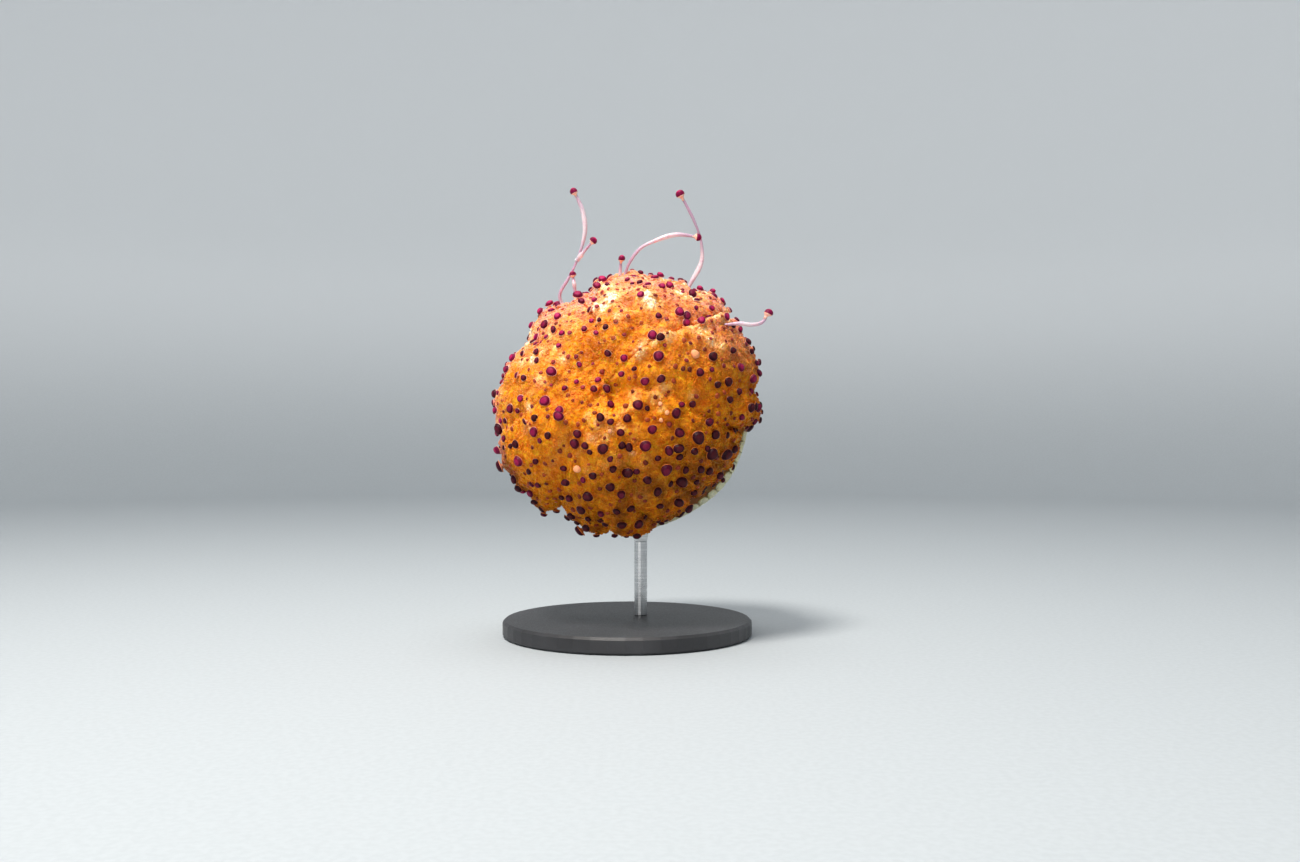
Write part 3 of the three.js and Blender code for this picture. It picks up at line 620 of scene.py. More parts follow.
def arm_surface(polar, azimuth):
    """The smooth arms: the radius, the height of the lips and how far they lean anticlockwise."""
    grooves = groove_azimuths(polar)
    azimuth = (azimuth - grooves[0]) % (2 * math.pi) + grooves[0]
    arm = np.clip((azimuth[None] >= grooves[1:-1]).sum(0), 0, ARM_COUNT - 1)
    start = np.take_along_axis(grooves, arm[None], 0)[0]
    end = np.take_along_axis(grooves, arm[None] + 1, 0)[0]
    across = 2 * (azimuth - start) / (end - start) - 1
    after = across > CREST[arm]
    groove = (arm + after) % ARM_COUNT
    neighbour = (arm + np.where(after, 1, -1)) % ARM_COUNT
    depth = lerp(GROOVE_FRONT[groove], GROOVE_BACK[groove], smoothstep(polar, *BACK_GROOVES))
    from_crest = np.abs(across - CREST[arm]) / np.where(after, 1 - CREST[arm], 1 + CREST[arm])
    cut = np.maximum(0, 1 - from_crest**5) ** 0.7
    valley = 0.5 + 0.5 * np.cos(math.pi * from_crest**1.7)
    swell = lerp(valley, cut, lerp(FOLD_SHARP[groove], 1, smoothstep(polar, *CUT_GROOVES)))
    opened = smoothstep(polar, FOLD_FROM[groove], FOLD_TO[groove])
    crest = crest_radius(polar)
    share = lerp(FOLD_SHARE[groove], RIM_SHARE[groove], smoothstep(polar, *RIM_FOLDS))
    floor = crest * (1 - share * depth * opened) * np.minimum(REACH[arm], REACH[neighbour])
    cleft = np.exp(-(((across - CLEFT_PLACE[arm]) / CLEFT_WIDTH) ** 2))
    cleft = cleft * CLEFT_DEPTH * smoothstep(polar, *CLEFTS)
    radius = lerp(floor, crest * REACH[arm], swell) - cleft * swell
    # The lips, at their own distance from the nearer groove on the side that stands proud.
    to_groove = (1 - np.abs(across)) / 2 * (end - start) * crest * np.sin(polar)
    side = np.where(across > 0, -1, 1)
    near = (arm + (across > 0)) % ARM_COUNT
    own = LIP_SIDE[near] == side
    shape = np.exp(-(((to_groove - LIP_PLACE) / LIP_WIDTH) ** 2)) * own
    reachable = smoothstep(polar, FOLD_FROM[near], FOLD_TO[near]) * (1 - smoothstep(polar, *LIP_END))
    lip = LIP_HEIGHT[near] * shape * reachable
    turned = azimuth % (2 * math.pi)
    around = smoothstep(turned, COLLAR["from"], COLLAR["from"] + 0.2)
    around = around * (1 - smoothstep(turned, COLLAR["to"] - 0.2, COLLAR["to"]))
    collar = around * np.exp(-(((polar - COLLAR["polar"]) / COLLAR["width"]) ** 2))
    return radius, lip + COLLAR["height"] * collar, -side * lip


def flesh_point(polar, azimuth, radius):
    return around_axis(radius * np.sin(polar), azimuth, radius * np.cos(polar))


PILLAR = np.array([[36, -23], [30, -32], [28, -46.5], [0, -47.5]]) * MM  # how the skin closes inside the bell
PILLAR_START = 0.35  # of the way from BACK_START to the end
FRONT_END = rad(95)  # to here an icosphere's polar angle is the body's own
BACK_START = rad(150)  # from here on it runs along the pillar
NEAR_LIMB = np.linspace(-60, 60, 61) * MM  # steps along a line of sight that passes the limb


def icosphere(level):
    """The points, all at distance 1, and the triangles of a subdivided icosahedron."""
    mesh = bmesh.new()
    bmesh.ops.create_icosphere(mesh, subdivisions=level, radius=1.0)
    points = np.array([v.co for v in mesh.verts])
    triangles = np.array([[v.index for v in f.verts] for f in mesh.faces])
    mesh.free()
    return unit(points), triangles


def tree_of(points, triangles):
    return BVHTree.FromPolygons([Vector(p) for p in points], triangles.tolist())


def face_normals(corners):
    """The normal of each triangle, twice its area long."""
    return np.cross(corners[:, 1] - corners[:, 0], corners[:, 2] - corners[:, 0])


def vertex_normals(points, triangles):
    facing = face_normals(points[triangles])
    normals = np.zeros_like(points)
    for corner in range(3):
        np.add.at(normals, triangles[:, corner], facing)
    return unit(normals)


def spots(points, triangles, marks, depth=1.0):
    """How near each point is to each mark (x, y and size in pixels of the photo, ...), as a bell curve."""
    tree = tree_of(points, triangles)
    for x, y, size, *rest in marks:
        eye, sight = pixel_ray(x, y)
        hit = tree.ray_cast(Vector(eye), Vector(sight))[0]
        if hit is None:
            steps = np.linalg.norm(eye) + NEAR_LIMB
            passing = [tree.find_nearest(Vector(eye + step * sight)) for step in steps]
            hit = min(passing, key=lambda found: found[3])[0]
        reach = size / FOCAL_PIXELS * np.linalg.norm(eye - np.array(hit))
        offset = points - np.array(hit)
        away_squared = (offset**2).sum(axis=1) - (1 - depth**2) * (offset @ sight) ** 2
        yield np.exp(-away_squared / reach**2), *rest


def low_share(points):
    """How far down and to the right a place is, from 0 to 1, in the animal's frame."""
    return np.clip(0.5 - (0.8 * points[:, 1] - 0.4 * points[:, 0]) / BODY_RADIUS / 2, 0, 1)


def skin_shape():
    """The skin in the animal's frame: points and triangles, and by point its polar angle, lip and painted
    crease shade.
    """
    directions, triangles = icosphere(SKIN_LEVEL)
    steep = np.arccos(np.clip(directions[:, 2], -1, 1))
    azimuth = np.arctan2(directions[:, 1], directions[:, 0])
    squeeze = np.clip((steep - FRONT_END) / (BACK_START - FRONT_END), 0, 1)
    polar = np.where(steep < FRONT_END, steep, lerp(FRONT_END, ARM_END, squeeze))
    radius, lip, lean = arm_surface(polar, azimuth)
    smooth = flesh_point(polar, azimuth, radius)
    share = LIP_RAGGED["share"]
    lip = lip * (share + share * noise(smooth, LIP_RAGGED["height"], SEED["lip"]))
    lean = lean * (share + share * noise(smooth, LIP_RAGGED["lean"], SEED["lean"]))
    sideways = azimuth + LIP_OVERHANG * lean / (radius * np.maximum(np.sin(polar), 0.2))
    points = flesh_point(polar, sideways, radius + lip)
    behind = np.clip((steep - BACK_START) / (math.pi - BACK_START), 0, 1)
    legs = lengths(np.diff(PILLAR, axis=0))
    stops = np.append(PILLAR_START, PILLAR_START + (1 - PILLAR_START) * np.cumsum(legs) / legs.sum())
    closing = np.stack([np.interp(behind, stops, PILLAR[:, axis]) for axis in range(2)], axis=-1)
    pillar = around_axis(closing[:, 0], azimuth, closing[:, 1])
    points = lerp(points, pillar, smoothstep(behind, 0, PILLAR_START)[:, None])
    swell = sum(near * height * MM for near, height in spots(points, triangles, SWELLS, SWELL_DEPTH))
    points = points + unit(points) * swell[:, None]
    facing = vertex_normals(points, triangles)
    lobes = rounded_cells(points + LOBES["lift"] * facing, LOBES["size"], SEED["lobes"])
    knolls = rounded_cells(points, KNOLLS["size"], SEED["knolls"])
    grains = rounded_cells(points, GRAINS["size"], SEED["grains"])
    rough = 0.6 + 0.4 * noise(points, KNOLLS["groups"], SEED["groups"])
    height = LOBES["height"] * (lobes - 0.8) + KNOLLS["height"] * (knolls - 0.6) * rough
    height = height + GRAINS["height"] * (grains - 0.5)
    height = height + WAVES["height"] * noise(points, WAVES["size"], SEED["waves"])
    points = points + facing * (height * (1 - smoothstep(behind, 0, 0.3)))[:, None]
    # Painted shade in the creases between the lumps.
    crease_shade = np.clip(1.2 - lobes - 0.35 * knolls, 0, 1) * 0.5 + 0.4 * (1 - grains)
    return points, triangles, polar, lip, crease_shade


def skin_marks(points, triangles, polar, lip, crease_shade):
    """By point, mostly 0 to 1: froth and painted highlight, lowness, pink veil partly painted light, painted
    shades.
    """
    low = low_share(points)
    # Pale froth on the proud lips, on the upper side only: partly painted highlight from above.
    froth_and_highlight = np.clip(lip / FROTHY_LIP, 0, 1) * smoothstep(noise(points, 4 * MM, SEED["froth_and_highlight"]), -0.5, 0.35)
    froth_and_highlight = froth_and_highlight * smoothstep(low, 0.75, 0.45)
    # The pale patches: painted highlights, froth and tan, with ragged edges.
    pale = np.zeros(len(points))
    for patches, share in PALE_TABLES:
        for (near,) in spots(points, triangles, patches, PATCH_DEPTH):
            pale = np.maximum(pale, share * near)
    edges = noise(points, 1.8 * MM, SEED["edges"]) + 0.5 * noise(points, 6 * MM, SEED["edges"] + 1)
    froth_and_highlight = np.maximum(froth_and_highlight, np.minimum(1.1, 1.35 * pale * smoothstep(edges, -1.3, 0.2)))
    # Painted highlight on the faces that turn up.
    facing_up = (vertex_normals(points, triangles) @ TO_WORLD.T)[:, 2]
    fuzz = noise(points, 3 * MM, SEED["fuzz"]) + 0.7 * noise(points, 9 * MM, SEED["fuzz"] + 1)
    upward = smoothstep(facing_up, 0.45, 0.95) * (polar < FRONT_END)
    froth_and_highlight = np.maximum(froth_and_highlight, UPWARD_HIGHLIGHT * upward * smoothstep(fuzz, -0.1, 0.8))
    # Less froth and highlight lower down, away from the light.
    froth_and_highlight = froth_and_highlight * (1 - 0.42 * smoothstep(low, 0.34, 0.5))
    right, up = points[:, 0] / BODY_RADIUS, points[:, 1] / BODY_RADIUS
    # The pink veil, only on the upper side and the upper rim: partly the tissue's pink, partly painted light
    # from above.
    veil_and_top_light = smoothstep(polar, rad(26), rad(62)) * lerp(0.72, 0.5, smoothstep(right, 0, 0.6))
    veil_and_top_light = veil_and_top_light * smoothstep(up, 0.05, lerp(0.55, 0.8, smoothstep(right, -0.3, 0.3)))
    veil_and_top_light = veil_and_top_light * (1 - 0.75 * smoothstep(polar, rad(82), rad(100)))
    rim = smoothstep(polar, rad(64), rad(80)) * (1 - 0.85 * smoothstep(polar, rad(84), rad(98)))
    veil_and_top_light = np.maximum(veil_and_top_light, RIM_VEIL * rim * smoothstep(low, 0.6, 0.36))
    # Painted shade in the valleys and under the lobes' edges.
    valley_shade = np.max([near for (near,) in spots(points, triangles, SHADE_PATCHES)], axis=0)
    # Painted shade: darker lower down and to the right, away from the light, less near the mouth, and at the
    # limbs.
    shade = smoothstep(low, 0.52, 0.94) * lerp(0.2, 1, smoothstep(polar, rad(22), rad(60)))
    right_limb = smoothstep(right, 0.5, 0.92) * smoothstep(up, 0.85, 0.4)
    left_limb = smoothstep(-right, 0.35, 0.6) * smoothstep(-up, 0.1, 0.4)
    left_limb = left_limb * smoothstep(np.hypot(right, up), 0.84, 0.98)
    shade = np.maximum(shade, np.maximum(LIMB_SHADE["right"] * right_limb, LIMB_SHADE["left"] * left_limb))
    crease_shade = np.clip(np.maximum(crease_shade, 0.9 * valley_shade), 0, 1)
    return {"froth_and_highlight": froth_and_highlight, "low": low, "veil_and_top_light": veil_and_top_light, "shade": shade, "crease_shade": crease_shade}


skin_points, skin_triangles, *skin_form = skin_shape()
skin_values = skin_marks(skin_points, skin_triangles, *skin_form)
arms = mesh_object("oral_arms_skin", to_world(skin_points), skin_triangles, [FLESH], skin_values)
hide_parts("manubrium", *[f"oral_arm_{index + 1}" for index in range(ARM_COUNT)])
skin_tree = tree_of(skin_points, skin_triangles)


def unwrapped(points):
    """An unwrap of the ball without a seam: equal areas, spread from the oral pole."""
    outward = unit(points)
    polar = np.arccos(np.clip(outward[:, 2], -1, 1))
    azimuth = np.arctan2(outward[:, 1], outward[:, 0])
    reach = 0.49 * np.sin(polar / 2)
    return 0.5 + np.stack([reach * np.cos(azimuth), reach * np.sin(azimuth)], axis=-1)


# ---- The clubs ----

CLUB_SIDES = 16
# A club from its sunk root to the middle of its button, as rings. Of each: its radius in button radii, its
# height in shares of the club's own, what it has above that in button radii, and how far out on the button
# it lies.
CLUB = [
    (0.46, 0.0, -0.8, 2.6), (0.40, 0.0, 0.0, 2.4), (0.34, 0.25, 0.0, 2.2), (0.38, 0.45, 0.0, 1.9),
    (0.62, 0.56, 0.0, 1.6), (1.06, 0.62, 0.0, 1.3), (1.2, 0.66, 0.04, 1.15), (1.12, 0.68, 0.1, 1.06),
    (1.03, 0.72, 0.16, 1.0), (1.0, 0.76, 0.3, 0.98), (0.93, 0.79, 0.42, 0.92), (0.79, 0.82, 0.52, 0.78),
    (0.59, 0.84, 0.59, 0.58), (0.34, 0.86, 0.63, 0.34), (0.12, 0.87, 0.64, 0.12),
]
# The same for the ball at the tip of a filament.
BALL = [
    (0.30, 0.0, -0.6, 2.1), (0.34, 0.0, 0.0, 2.0), (0.42, 0.3, 0.0, 1.8), (0.62, 0.5, 0.04, 1.5),
    (0.86, 0.6, 0.14, 1.2), (0.95, 0.62, 0.24, 1.08), (0.96, 0.63, 0.32, 1.0), (1.0, 0.64, 0.5, 0.98),
    (0.98, 0.65, 0.72, 0.94), (0.9, 0.66, 0.94, 0.88), (0.76, 0.67, 1.13, 0.76), (0.58, 0.68, 1.28, 0.58),
    (0.38, 0.69, 1.38, 0.38), (0.16, 0.7, 1.43, 0.16),
]
BALL_MIDDLE = 1.1  # the height of its middle, in button radii
PIGMENT_START = 1.03  # of that last number
SEEN_LEAN = 0.45  # how far the clubs of the photo lean towards the camera
CLUB_PATCH = 0.009  # the size of a club on the bake map
FARTHEST = 3.2  # a place that far out lies at the patch's edge
SEEN_HEIGHT = (1.1 * MM, 2.4 * MM)  # the least and most height of a club of the photo
# The clubs at random: at the limb, in view among those of the photo, and out of view. radius: its range, in
# mm. clear: the room to the next. height: its range, in radii.
LIMB_CLUBS = {"radius": (1.3, 2.3), "clear": 1.4 * MM}
FRONT_CLUBS = {"radius": (0.8, 1.5), "clear": 1.3 * MM, "faint": (0.2, 0.9), "height": (0.35, 0.6)}
HIDDEN_CLUBS = {"radius": (1.1, 3.8), "clear": 2.2 * MM, "height": (0.6, 1.25)}
CLUB_LIMIT = 660
CLUB_TRIES = 9000
CLUBS_END = rad(100)  # the polar angle behind which there are none
CLUB_GROWTH = (0.8, 1.12)  # from the upper clubs to the lowest


def joined(name, materials, roots, points, one, patch, by_thing, by_point, face_materials=None):
    """Many small things as one mesh. points: those of each. one: the triangles of the first.

    patch: where the points lie about the root on the bake map. by_thing and by_point: the attributes that go
    with the thing, and with the place on it.
    """
    count, each = points.shape[:2]
    triangles = (one[None] + each * np.arange(count)[:, None, None]).reshape(-1, 3)
    values = {key: np.repeat(numbers, each) for key, numbers in by_thing.items()}
    values.update({key: np.tile(numbers, count) for key, numbers in by_point.items()})
    bake_map = (unwrapped(roots)[:, None] + patch).reshape(-1, 2)
    placed = to_world(points.reshape(-1, 3))
    return mesh_object(name, placed, triangles, materials, values, face_materials, bake_map)


def make_clubs(name, places, axes, radius, height, marks, draws, profile=CLUB):
    """Clubs as one mesh. marks holds a number for each club by attribute name."""
    count = len(places)
    rows = len(profile)
    first, second = frames_along(axes, draws.uniform(0, 2 * math.pi, count))
    flatness = draws.uniform(0.82, 1.0, (count, 1))
    waves = draws.uniform(0, 2 * math.pi, (count, 1))
    angles = angles_around(CLUB_SIDES)
    wobble = 1 + 0.05 * np.sin(2 * angles + waves) + 0.04 * np.sin(3 * angles + 2 * waves)
    bend = draws.normal(0, 0.16, (count, 2))
    rings = []
    for wide, share, above, _ in profile:
        up = share * height + above * radius
        reach = wide * radius[:, None] * wobble
        shift = bend * (np.clip(up / height, 0, 1.2) ** 2 * height)[:, None]
        x = reach * np.cos(angles) + shift[:, :1]
        y = reach * np.sin(angles) * flatness + shift[:, 1:]
        rings.append(along_frames(places, (x, y, up[:, None]), (first, second, axes)))
    tops = rings[-1].mean(axis=1) + 0.01 * radius[:, None] * axes
    points = np.concatenate([*rings, tops[:, None]], axis=1)
    one = np.concatenate([
        rings_triangles(rows, CLUB_SIDES),
        fan_triangles((rows - 1) * CLUB_SIDES, CLUB_SIDES, rows * CLUB_SIDES),
        bottom_cap(CLUB_SIDES),
    ])
    pigmented = [far < PIGMENT_START for *_, far in profile].index(True)
    is_face = np.tile((one.min(axis=1) >= (pigmented - 1) * CLUB_SIDES).astype(int), count)
    radial = np.append(np.repeat([far for *_, far in profile], CLUB_SIDES), 0)
    turned = np.append(np.tile(angles, rows), 0)
    spread = np.clip(radial / FARTHEST, 0, 1)
    patch = CLUB_PATCH / 2 * np.stack([spread * np.cos(turned), spread * np.sin(turned)], axis=-1)
    return joined(name, [STALK, BUTTON], places, points, one, patch, marks, {"radial": radial}, is_face)


def seen_club(x, y, wide):
    """The root, axis, radius and height of the club whose button is seen at a pixel."""
    eye, sight = pixel_ray(x, y)
    travel = np.linalg.norm(eye) - 1.3 * BODY_RADIUS
    best = None
    while travel < np.linalg.norm(eye) + 0.6 * BODY_RADIUS:
        point = eye + travel * sight
        nearest, _, _, distance = skin_tree.find_nearest(Vector(point))
        radius = wide / 2 * travel / FOCAL_PIXELS
        height = min(max(0.75 * radius, SEEN_HEIGHT[0]), SEEN_HEIGHT[1])
        if best is None or distance < best[0]:
            best = (distance, point, np.array(nearest), radius, height)
        if distance < height:
            break
        travel += max(0.5 * (distance - height), 0.15 * MM)
    distance, point, root, radius, height = best
    outward = unit(point - root)
    axis = unit(0.6 * outward + 0.4 * unit(root) - SEEN_LEAN * sight)
    return root, axis, radius, min(max(distance, 0.6 * height), 1.4 * radius)


LIMB = (-0.3, 0.22)  # how far a place at the limb faces the camera


def surface_samples(count, draws, polar_end):
    """Random places on the skin, with the way that it faces there and the number of a point near by."""
    corners = skin_points[skin_triangles]
    facing = face_normals(corners)
    area = lengths(facing)
    middle = corners.mean(axis=1)
    polar = np.arccos(middle[:, 2] / lengths(middle))
    area = np.where(polar < polar_end, area, 0)
    face = draws.choice(len(area), size=count, p=area / area.sum())
    share = np.sqrt(draws.uniform(size=(count, 1)))
    other = draws.uniform(size=(count, 1))
    a, b, c = corners[face, 0], corners[face, 1], corners[face, 2]
    places = a * (1 - share) + b * share * (1 - other) + c * share * other
    return places, unit(facing[face]), skin_triangles[face, 0]


def clear_of(place, radius, others, radii, clear):
    return not len(others) or (lengths(others - place) > radii + radius + clear).all()


def spread_clubs():
    """All clubs: those of the photo at their own places, and the rest at random between and behind them."""
    draws = np.random.default_rng(SEED["clubs"])
    clubs = []
    seen = [(mark, 0.0) for group in SEEN_CLUBS.values() for mark in group]
    seen += [(mark, 1.0) for mark in PALE_CLUBS]
    for mark, unpigmented in seen:
        clubs.append((*seen_club(*mark), 0.0, unpigmented))
    eye = to_animal(CAMERA)
    places, facing, _ = surface_samples(CLUB_TRIES, draws, CLUBS_END)
    lows = low_share(places)
    towards = (facing * unit(eye - places)).sum(axis=1)
    others = np.array([club[0] for club in clubs])
    radii = np.array([club[2] for club in clubs])
    for place, out, low, front in zip(places, facing, lows, towards):
        kind = draws.uniform()
        growth = lerp(*CLUB_GROWTH, low)
        in_view = front > LIMB[1]
        if LIMB[0] < front <= LIMB[1]:
            radius = draws.uniform(*LIMB_CLUBS["radius"]) * MM
            clear, faint = LIMB_CLUBS["clear"], 0.0
        elif in_view:
            radius = draws.uniform(*FRONT_CLUBS["radius"]) * MM * growth
            clear, faint = FRONT_CLUBS["clear"], draws.uniform(*FRONT_CLUBS["faint"])
        else:  # most are small, and the smallest are faint
            radius = lerp(*HIDDEN_CLUBS["radius"], kind**1.8) * MM * growth
            clear, faint = HIDDEN_CLUBS["clear"], max(0.0, 0.8 - 1.6 * kind)
        if len(others) > CLUB_LIMIT or not clear_of(place, radius, others, radii, clear):
            continue
        outward = unit(place)
        axis = unit(0.5 * out + 0.5 * outward + draws.normal(0, 0.12, 3))
        height = radius * draws.uniform(*(FRONT_CLUBS if in_view else HIDDEN_CLUBS)["height"])
        clubs.append((place, axis, radius, height, faint, 0.0))
        others = np.vstack([others, place])
        radii = np.append(radii, radius)
    return clubs, draws


clubs, club_draws = spread_clubs()
club_places, club_axes, club_radii, club_heights, club_faint, club_pale = map(np.array, zip(*clubs))
club_low = low_share(club_places)
club_marks = {
    "faint": club_faint,
    "pale": club_pale,
    "rooted": np.ones(len(clubs)),
    "low": club_low,
    # The pigment at random, plus painted shade: the lower the club, the darker.
    "tone": np.clip(club_draws.uniform(0, 0.6, len(clubs)) + 0.95 * (0.6 - club_low), 0, 1),
}
for club_piece, chosen in (("clubs_upper", club_low < 0.5), ("clubs_lower", club_low >= 0.5)):
    own_marks = {key: numbers[chosen] for key, numbers in club_marks.items()}
    own = (club_places[chosen], club_axes[chosen], club_radii[chosen], club_heights[chosen])
    make_clubs(club_piece, *own, own_marks, club_draws)

# ---- The mouthlets ----

FRILL_COUNT = 22000  # before those that a club stands on are left out
FRILLS_END = rad(104)  # the polar angle behind which there are none
FRILL_STEPS = 5
FRILL_PIECES = 6
FRILL_PATCH = 0.003  # the size of a frill on the bake map
FRILL_LENGTH = (0.9, 2.0)  # the range of each measure, in mm
FRILL_WIDTH = (0.45, 0.8)
FRILL_HEIGHT = (0.25, 0.65)
FRILL_CURL = 0.75  # how much the frills differ in how far they curl, sway and lean
FRILL_SWING = 0.35
FRILL_LEAN = 0.22
# A mouthlet's frill is a short curled ridge: the outline across it, as shares of its width and height, and
# how much of that is left at each step along it.
FRILL_ACROSS = np.array([(-0.5, -0.6), (-0.42, 0.45), (0.0, 1.0), (0.42, 0.45), (0.5, -0.6)])
FRILL_TAPER = np.array([0.35, 0.85, 1.0, 0.85, 0.35])


def make_frills():
    """The frills between the clubs, each with the markings of the skin at its root, from low to high."""
    draws = np.random.default_rng(SEED["frills"])
    places, facing, near = surface_samples(FRILL_COUNT, draws, FRILLS_END)
    gaps = [lengths(places - place) - radius for place, radius in zip(club_places, club_radii)]
    keep = np.min(gaps, axis=0) > -0.1 * MM
    places, facing, near = places[keep], facing[keep], near[keep]
    # The frills grow where the skin has froth and painted highlight.
    froth_and_highlight = skin_values["froth_and_highlight"][near]
    count = len(places)
    low = low_share(places)
    length = draws.uniform(*FRILL_LENGTH, count) * MM
    width = draws.uniform(*FRILL_WIDTH, count) * MM * (1 + 0.25 * froth_and_highlight)
    height = draws.uniform(*FRILL_HEIGHT, count) * MM * (1 + 0.8 * froth_and_highlight)
    axes = unit(facing + draws.normal(0, FRILL_LEAN, (count, 3)))
    run = 2.5 * math.pi * noise(places, 7 * MM, SEED["run"]) + draws.normal(0, 0.7, count)
    first, second = frames_along(axes, run)
    curl = draws.normal(0, FRILL_CURL, count)
    swing = draws.normal(0, FRILL_SWING, count)
    rings = []
    for taper, share in zip(FRILL_TAPER, np.linspace(-0.5, 0.5, FRILL_STEPS)):
        forward = share * length
        aside = length * (curl * (share**2 - 0.1) + swing * math.sin(2 * math.pi * share) * 0.5)
        slope = 2 * curl * share + swing * math.pi * math.cos(2 * math.pi * share)
        turn = np.arctan(slope)
        across = FRILL_ACROSS[:, 0] * width[:, None] * taper * draws.uniform(0.85, 1.15, (count, 1))
        up = FRILL_ACROSS[:, 1] * height[:, None] * (0.25 + 0.75 * taper)
        up = up * draws.uniform(0.7, 1.25, (count, 1))
        x = forward[:, None] - across * np.sin(turn)[:, None]
        y = aside[:, None] + across * np.cos(turn)[:, None]
        rings.append(along_frames(places, (x, y, up), (first, second, axes)))
    points = np.concatenate(rings, axis=1)
    columns = len(FRILL_ACROSS)
    one = np.concatenate([
        rings_triangles(FRILL_STEPS, columns)[:, ::-1],
        bottom_cap(columns)[:, ::-1],
        bottom_cap(columns) + (FRILL_STEPS - 1) * columns,
    ])
    tip = np.tile(np.clip(FRILL_ACROSS[:, 1], 0, 1), FRILL_STEPS)
    lengthwise = np.repeat(np.linspace(-0.7, 0.7, FRILL_STEPS), columns)
    patch = FRILL_PATCH / 2 * np.stack([lengthwise, np.tile(FRILL_ACROSS[:, 0], FRILL_STEPS)], axis=-1)
    marks = {key: numbers[near] for key, numbers in skin_values.items()}
    marks["low"] = low
    for piece, own in enumerate(np.array_split(np.argsort(low), FRILL_PIECES)):
        own_marks = {key: numbers[own] for key, numbers in marks.items()}
        name = f"mouthlets_{piece + 1}"
        frills = joined(name, [FRILL], places[own], points[own], one, patch, own_marks, {"tip": tip})


make_frills()

# ---- The filaments ----

# Each filament as (right, back, up) from the middle of the body, in mm, from the root outwards. swell: the
# share of its length where it is thickest. button: the radius of the one at its tip, in mm. nodes: what it
# replaces.
FILAMENTS = {
    "strand_1": {
        "points": [
            (-38, 3, 58), (-40.5, 2, 66), (-34.5, 0, 77), (-28.5, -2, 90), (-25, -4, 104), (-26.5, -5, 116),
            (-31.4, -6, 127),
        ],
        "swell": 0.74, "button": 2.6, "nodes": ["filament_1_root", "filament_1_tip"],
    },
    "strand_1_branch": {
        "points": [(-30, -1, 86.5), (-25, -5, 92), (-19.8, -7, 97.5)],
        "swell": 0.3, "button": 2.3,
    },
    "strand_1_side": {
        "points": [(-31, -2, 66), (-31.5, -3, 72), (-32.6, -3, 78)],
        "swell": 0.5, "button": 2.1,
    },
    "strand_2": {
        "points": [(34, 8, 66), (39, 10, 75), (45, 10, 87), (45, 8, 98), (41, 5, 110), (32, 2, 127)],
        "swell": 0.3, "button": 2.7, "nodes": ["filament_2_root", "filament_2_tip"],
    },
    "strand_3": {
        "points": [
            (-2, -12, 72), (1, -14, 82), (8, -16, 91.5), (17, -17, 96), (29, -17, 99.5), (42, -16, 98.3),
        ],
        "swell": 0.62, "button": 2.4, "nodes": ["filament_3_root", "filament_3_tip"],
    },
    "strand_4": {
        "points": [(55, -32, 45), (65, -34, 46), (73, -31, 45.5), (79, -28, 47.5), (82, -27, 53)],
        "swell": 0.5, "button": 2.6, "nodes": ["filament_4"],
    },
    "strand_5": {
        "points": [(-3, -9, 70), (-3.8, -12, 78), (-3.2, -14, 86)],
        "swell": 0.4, "button": 2.3,
    },
}
FILAMENT_STEPS = 60
FILAMENT_SIDES = 12
FILAMENT_RADIUS = 0.78  # in mm, with what the swelling and the root add
FILAMENT_SWELLING = 0.62
FILAMENT_ROOT = 0.8


def curve_through(points, count):
    """Evenly spaced places on a centripetal Catmull-Rom spline, as in the part."""
    points = np.array(points, float)
    padded = np.vstack([2 * points[0] - points[1], points, 2 * points[-1] - points[-2]])
    dense = []
    for p0, p1, p2, p3 in zip(padded, padded[1:], padded[2:], padded[3:]):
        d0, d1, d2 = (math.sqrt(np.linalg.norm(b - a)) for a, b in ((p0, p1), (p1, p2), (p2, p3)))
        leave = ((p1 - p0) / d0 - (p2 - p0) / (d0 + d1) + (p2 - p1) / d1) * d1
        arrive = ((p2 - p1) / d1 - (p3 - p1) / (d1 + d2) + (p3 - p2) / d2) * d1
        t = np.linspace(0, 1, 40, endpoint=False)[:, None]
        cubic = 2 * p1 - 2 * p2 + leave + arrive
        square = 3 * p2 - 3 * p1 - 2 * leave - arrive
        dense.append(p1 + leave * t + square * t**2 + cubic * t**3)
    dense = np.vstack([*dense, points[-1:]])
    length = np.concatenate([[0], np.cumsum(lengths(np.diff(dense, axis=0)))])
    wanted = np.linspace(0, length[-1], count)
    return np.stack([np.interp(wanted, length, dense[:, axis]) for axis in range(3)], axis=-1)


